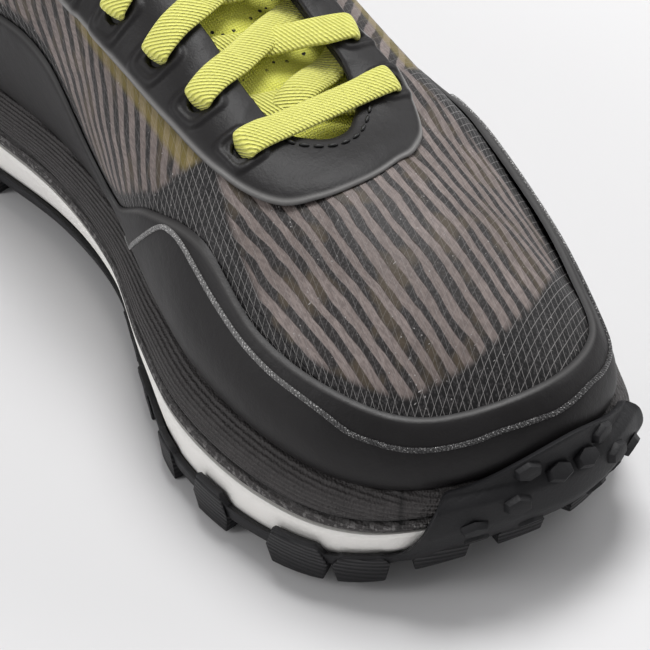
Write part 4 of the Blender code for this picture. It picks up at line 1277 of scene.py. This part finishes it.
def run_to_edge(hand, start, goal, off):
    """Points and normals from an eyelet straight towards another, as far as the throat's edge."""
    s, t = start
    p, q = upper(s, t)[:2], upper(*goal)[:2]
    rim_s = np.linspace(SIDE, SIDE + hand * (SIDE - STAY_START), 300)
    rim = upper(rim_s, 1.0)[:, :2] - p
    past = rim[:, 0] * (q - p)[1] - rim[:, 1] * (q - p)[0]
    edge = rim_s[np.argmax(np.sign(past[1:]) != np.sign(past[:-1]))]
    half_way = find(*((p + upper(edge, 1.0)[:2]) / 2), (s + edge) / 2)
    where = [(s, t), half_way, (edge, 1.0)]
    return [upper(*w, off) for w in where], [upper(*w, 0.001) - upper(*w) for w in where]


OVER = SEAT + STAY + CLEAR + LACE_THICK / 2 + LACE_ROOM
UNDER = -(WALL + CLEAR + LACE_THICK / 2 + LACE_ROOM)


def dive(points, normals):
    """The lace's bend down into an eyelet, put before its first point."""
    n = normals[0] / np.linalg.norm(normals[0])
    ahead = points[1] - points[0]
    ahead /= np.linalg.norm(ahead)
    hole = points[0] - n * (OVER + 0.0012)
    crest = points[0] + ahead * 0.0016 + n * 0.0003
    outer = points[0] - n * 0.0012 + ahead * 0.0002
    faces = [-ahead * 0.001 + n * 0.0002, (n - ahead) * 0.001, normals[0]]
    return [hole, outer, crest] + points[1:], faces + normals[1:]


def lace_strand(name, points, normals, bunched_start, bunched_end, stands_for=()):
    keys = np.linspace(0, len(points) - 1, 110)
    path, face = crom(np.array(points), keys), crom(np.array(normals), keys)
    path[1:-1] = path[1:-1] * 0.5 + (path[:-2] + path[2:]) * 0.25

    def section(along):
        start = smooth_step(along / 0.16) if bunched_start else 1.0
        end = smooth_step((1 - along) / 0.16) if bunched_end else 1.0
        open_out = BUNCHED + (1 - BUNCHED) * min(start, end)
        return rounded(LACE_WIDTH * 1.06 * open_out, LACE_THICK * (1.12 + 0.5 * (1 - open_out)), 24, 0.75)
    return swept(name, path, face, section, lace_look, stands_for)


left, left_faces = run_to_edge(-1, eyelets[-1][0], eyelets[1][0], OVER)
right, right_faces = run_to_edge(1, eyelets[1][0], eyelets[-1][0], OVER)
left, left_faces = dive(left, left_faces)
right, right_faces = dive(right, right_faces)
lace_strand("lace_front_bar", left + right[::-1], left_faces + right_faces[::-1], True, True, ("lace_bar",))
for pair in range(PAIRS - 1):
    start = UNDER if pair == 0 else OVER
    rise = 0.0020 if pair == 0 else 0.0
    for hand, side_name, apart in ((-1, "inner", 0.30), (1, "outer", -0.30)):
        a, a_faces = run_to_edge(hand, eyelets[hand][pair], eyelets[-hand][pair + 1], start)
        b, b_faces = run_to_edge(-hand, eyelets[-hand][pair + 1], eyelets[hand][pair], UNDER)
        slide = 0.14 * (b[2] - a[2])
        over_throat = [a[2] + slide, (a[2] + b[2]) / 2 + (rise + LACE_THICK * apart) * UP, b[2] - slide]
        level = (a_faces[2] + b_faces[2]) / 2
        if pair > 0:
            a, a_faces = dive(a, a_faces)
        stands_for = (f"lace_crossing_{pair + 1}",) if hand == -1 else ()
        lace_strand(f"lace_{pair + 1}_from_{side_name}", a + over_throat + b[::-1],
                    a_faces + [level] * 3 + b_faces[::-1], pair > 0, False, stands_for)


# Throat stitching
# A row of short stitches in heavy black thread, which holds the eyestay to the upper round the front of the
# throat, 3 mm out from its edge.
STITCH = 0.0026           # length of one stitch
STITCH_GAP = 0.0008       # to the next
STITCH_RADIUS = 0.00050
STITCH_IN = 0.0034        # from the throat's edge

thread_look = Shader("black_thread", (0.004, 0.004, 0.004), 0.5)
line_s = np.linspace(8.7, LOOP - 8.7, 900)
per_t = np.linalg.norm(upper(line_s, np.full(900, 0.99)) - upper(line_s, np.full(900, 0.97)), axis=1) / 0.02
line_t = 1 - STITCH_IN / per_t
line = upper(line_s, line_t, SEAT + STAY + STITCH_RADIUS * 0.4)
reach_along = np.concatenate([[0], np.cumsum(np.linalg.norm(np.diff(line, axis=0), axis=1))])
bm = bmesh.new()
for begin in np.arange(0, reach_along[-1] - STITCH, STITCH + STITCH_GAP):
    a, b = (np.array([np.interp(at, reach_along, line[:, k]) for k in range(3)])
            for at in (begin, begin + STITCH))
    turned = Vector(b - a).to_track_quat("X", "Z").to_matrix().to_4x4()
    middle = Matrix.Translation(Vector((a + b) / 2)) @ turned
    shape = Matrix.Diagonal((STITCH / 2, STITCH_RADIUS, STITCH_RADIUS, 1.0))
    bmesh.ops.create_icosphere(bm, subdivisions=2, radius=1.0, matrix=middle @ shape)
finish_piece("throat_stitching", bm, thread_look)
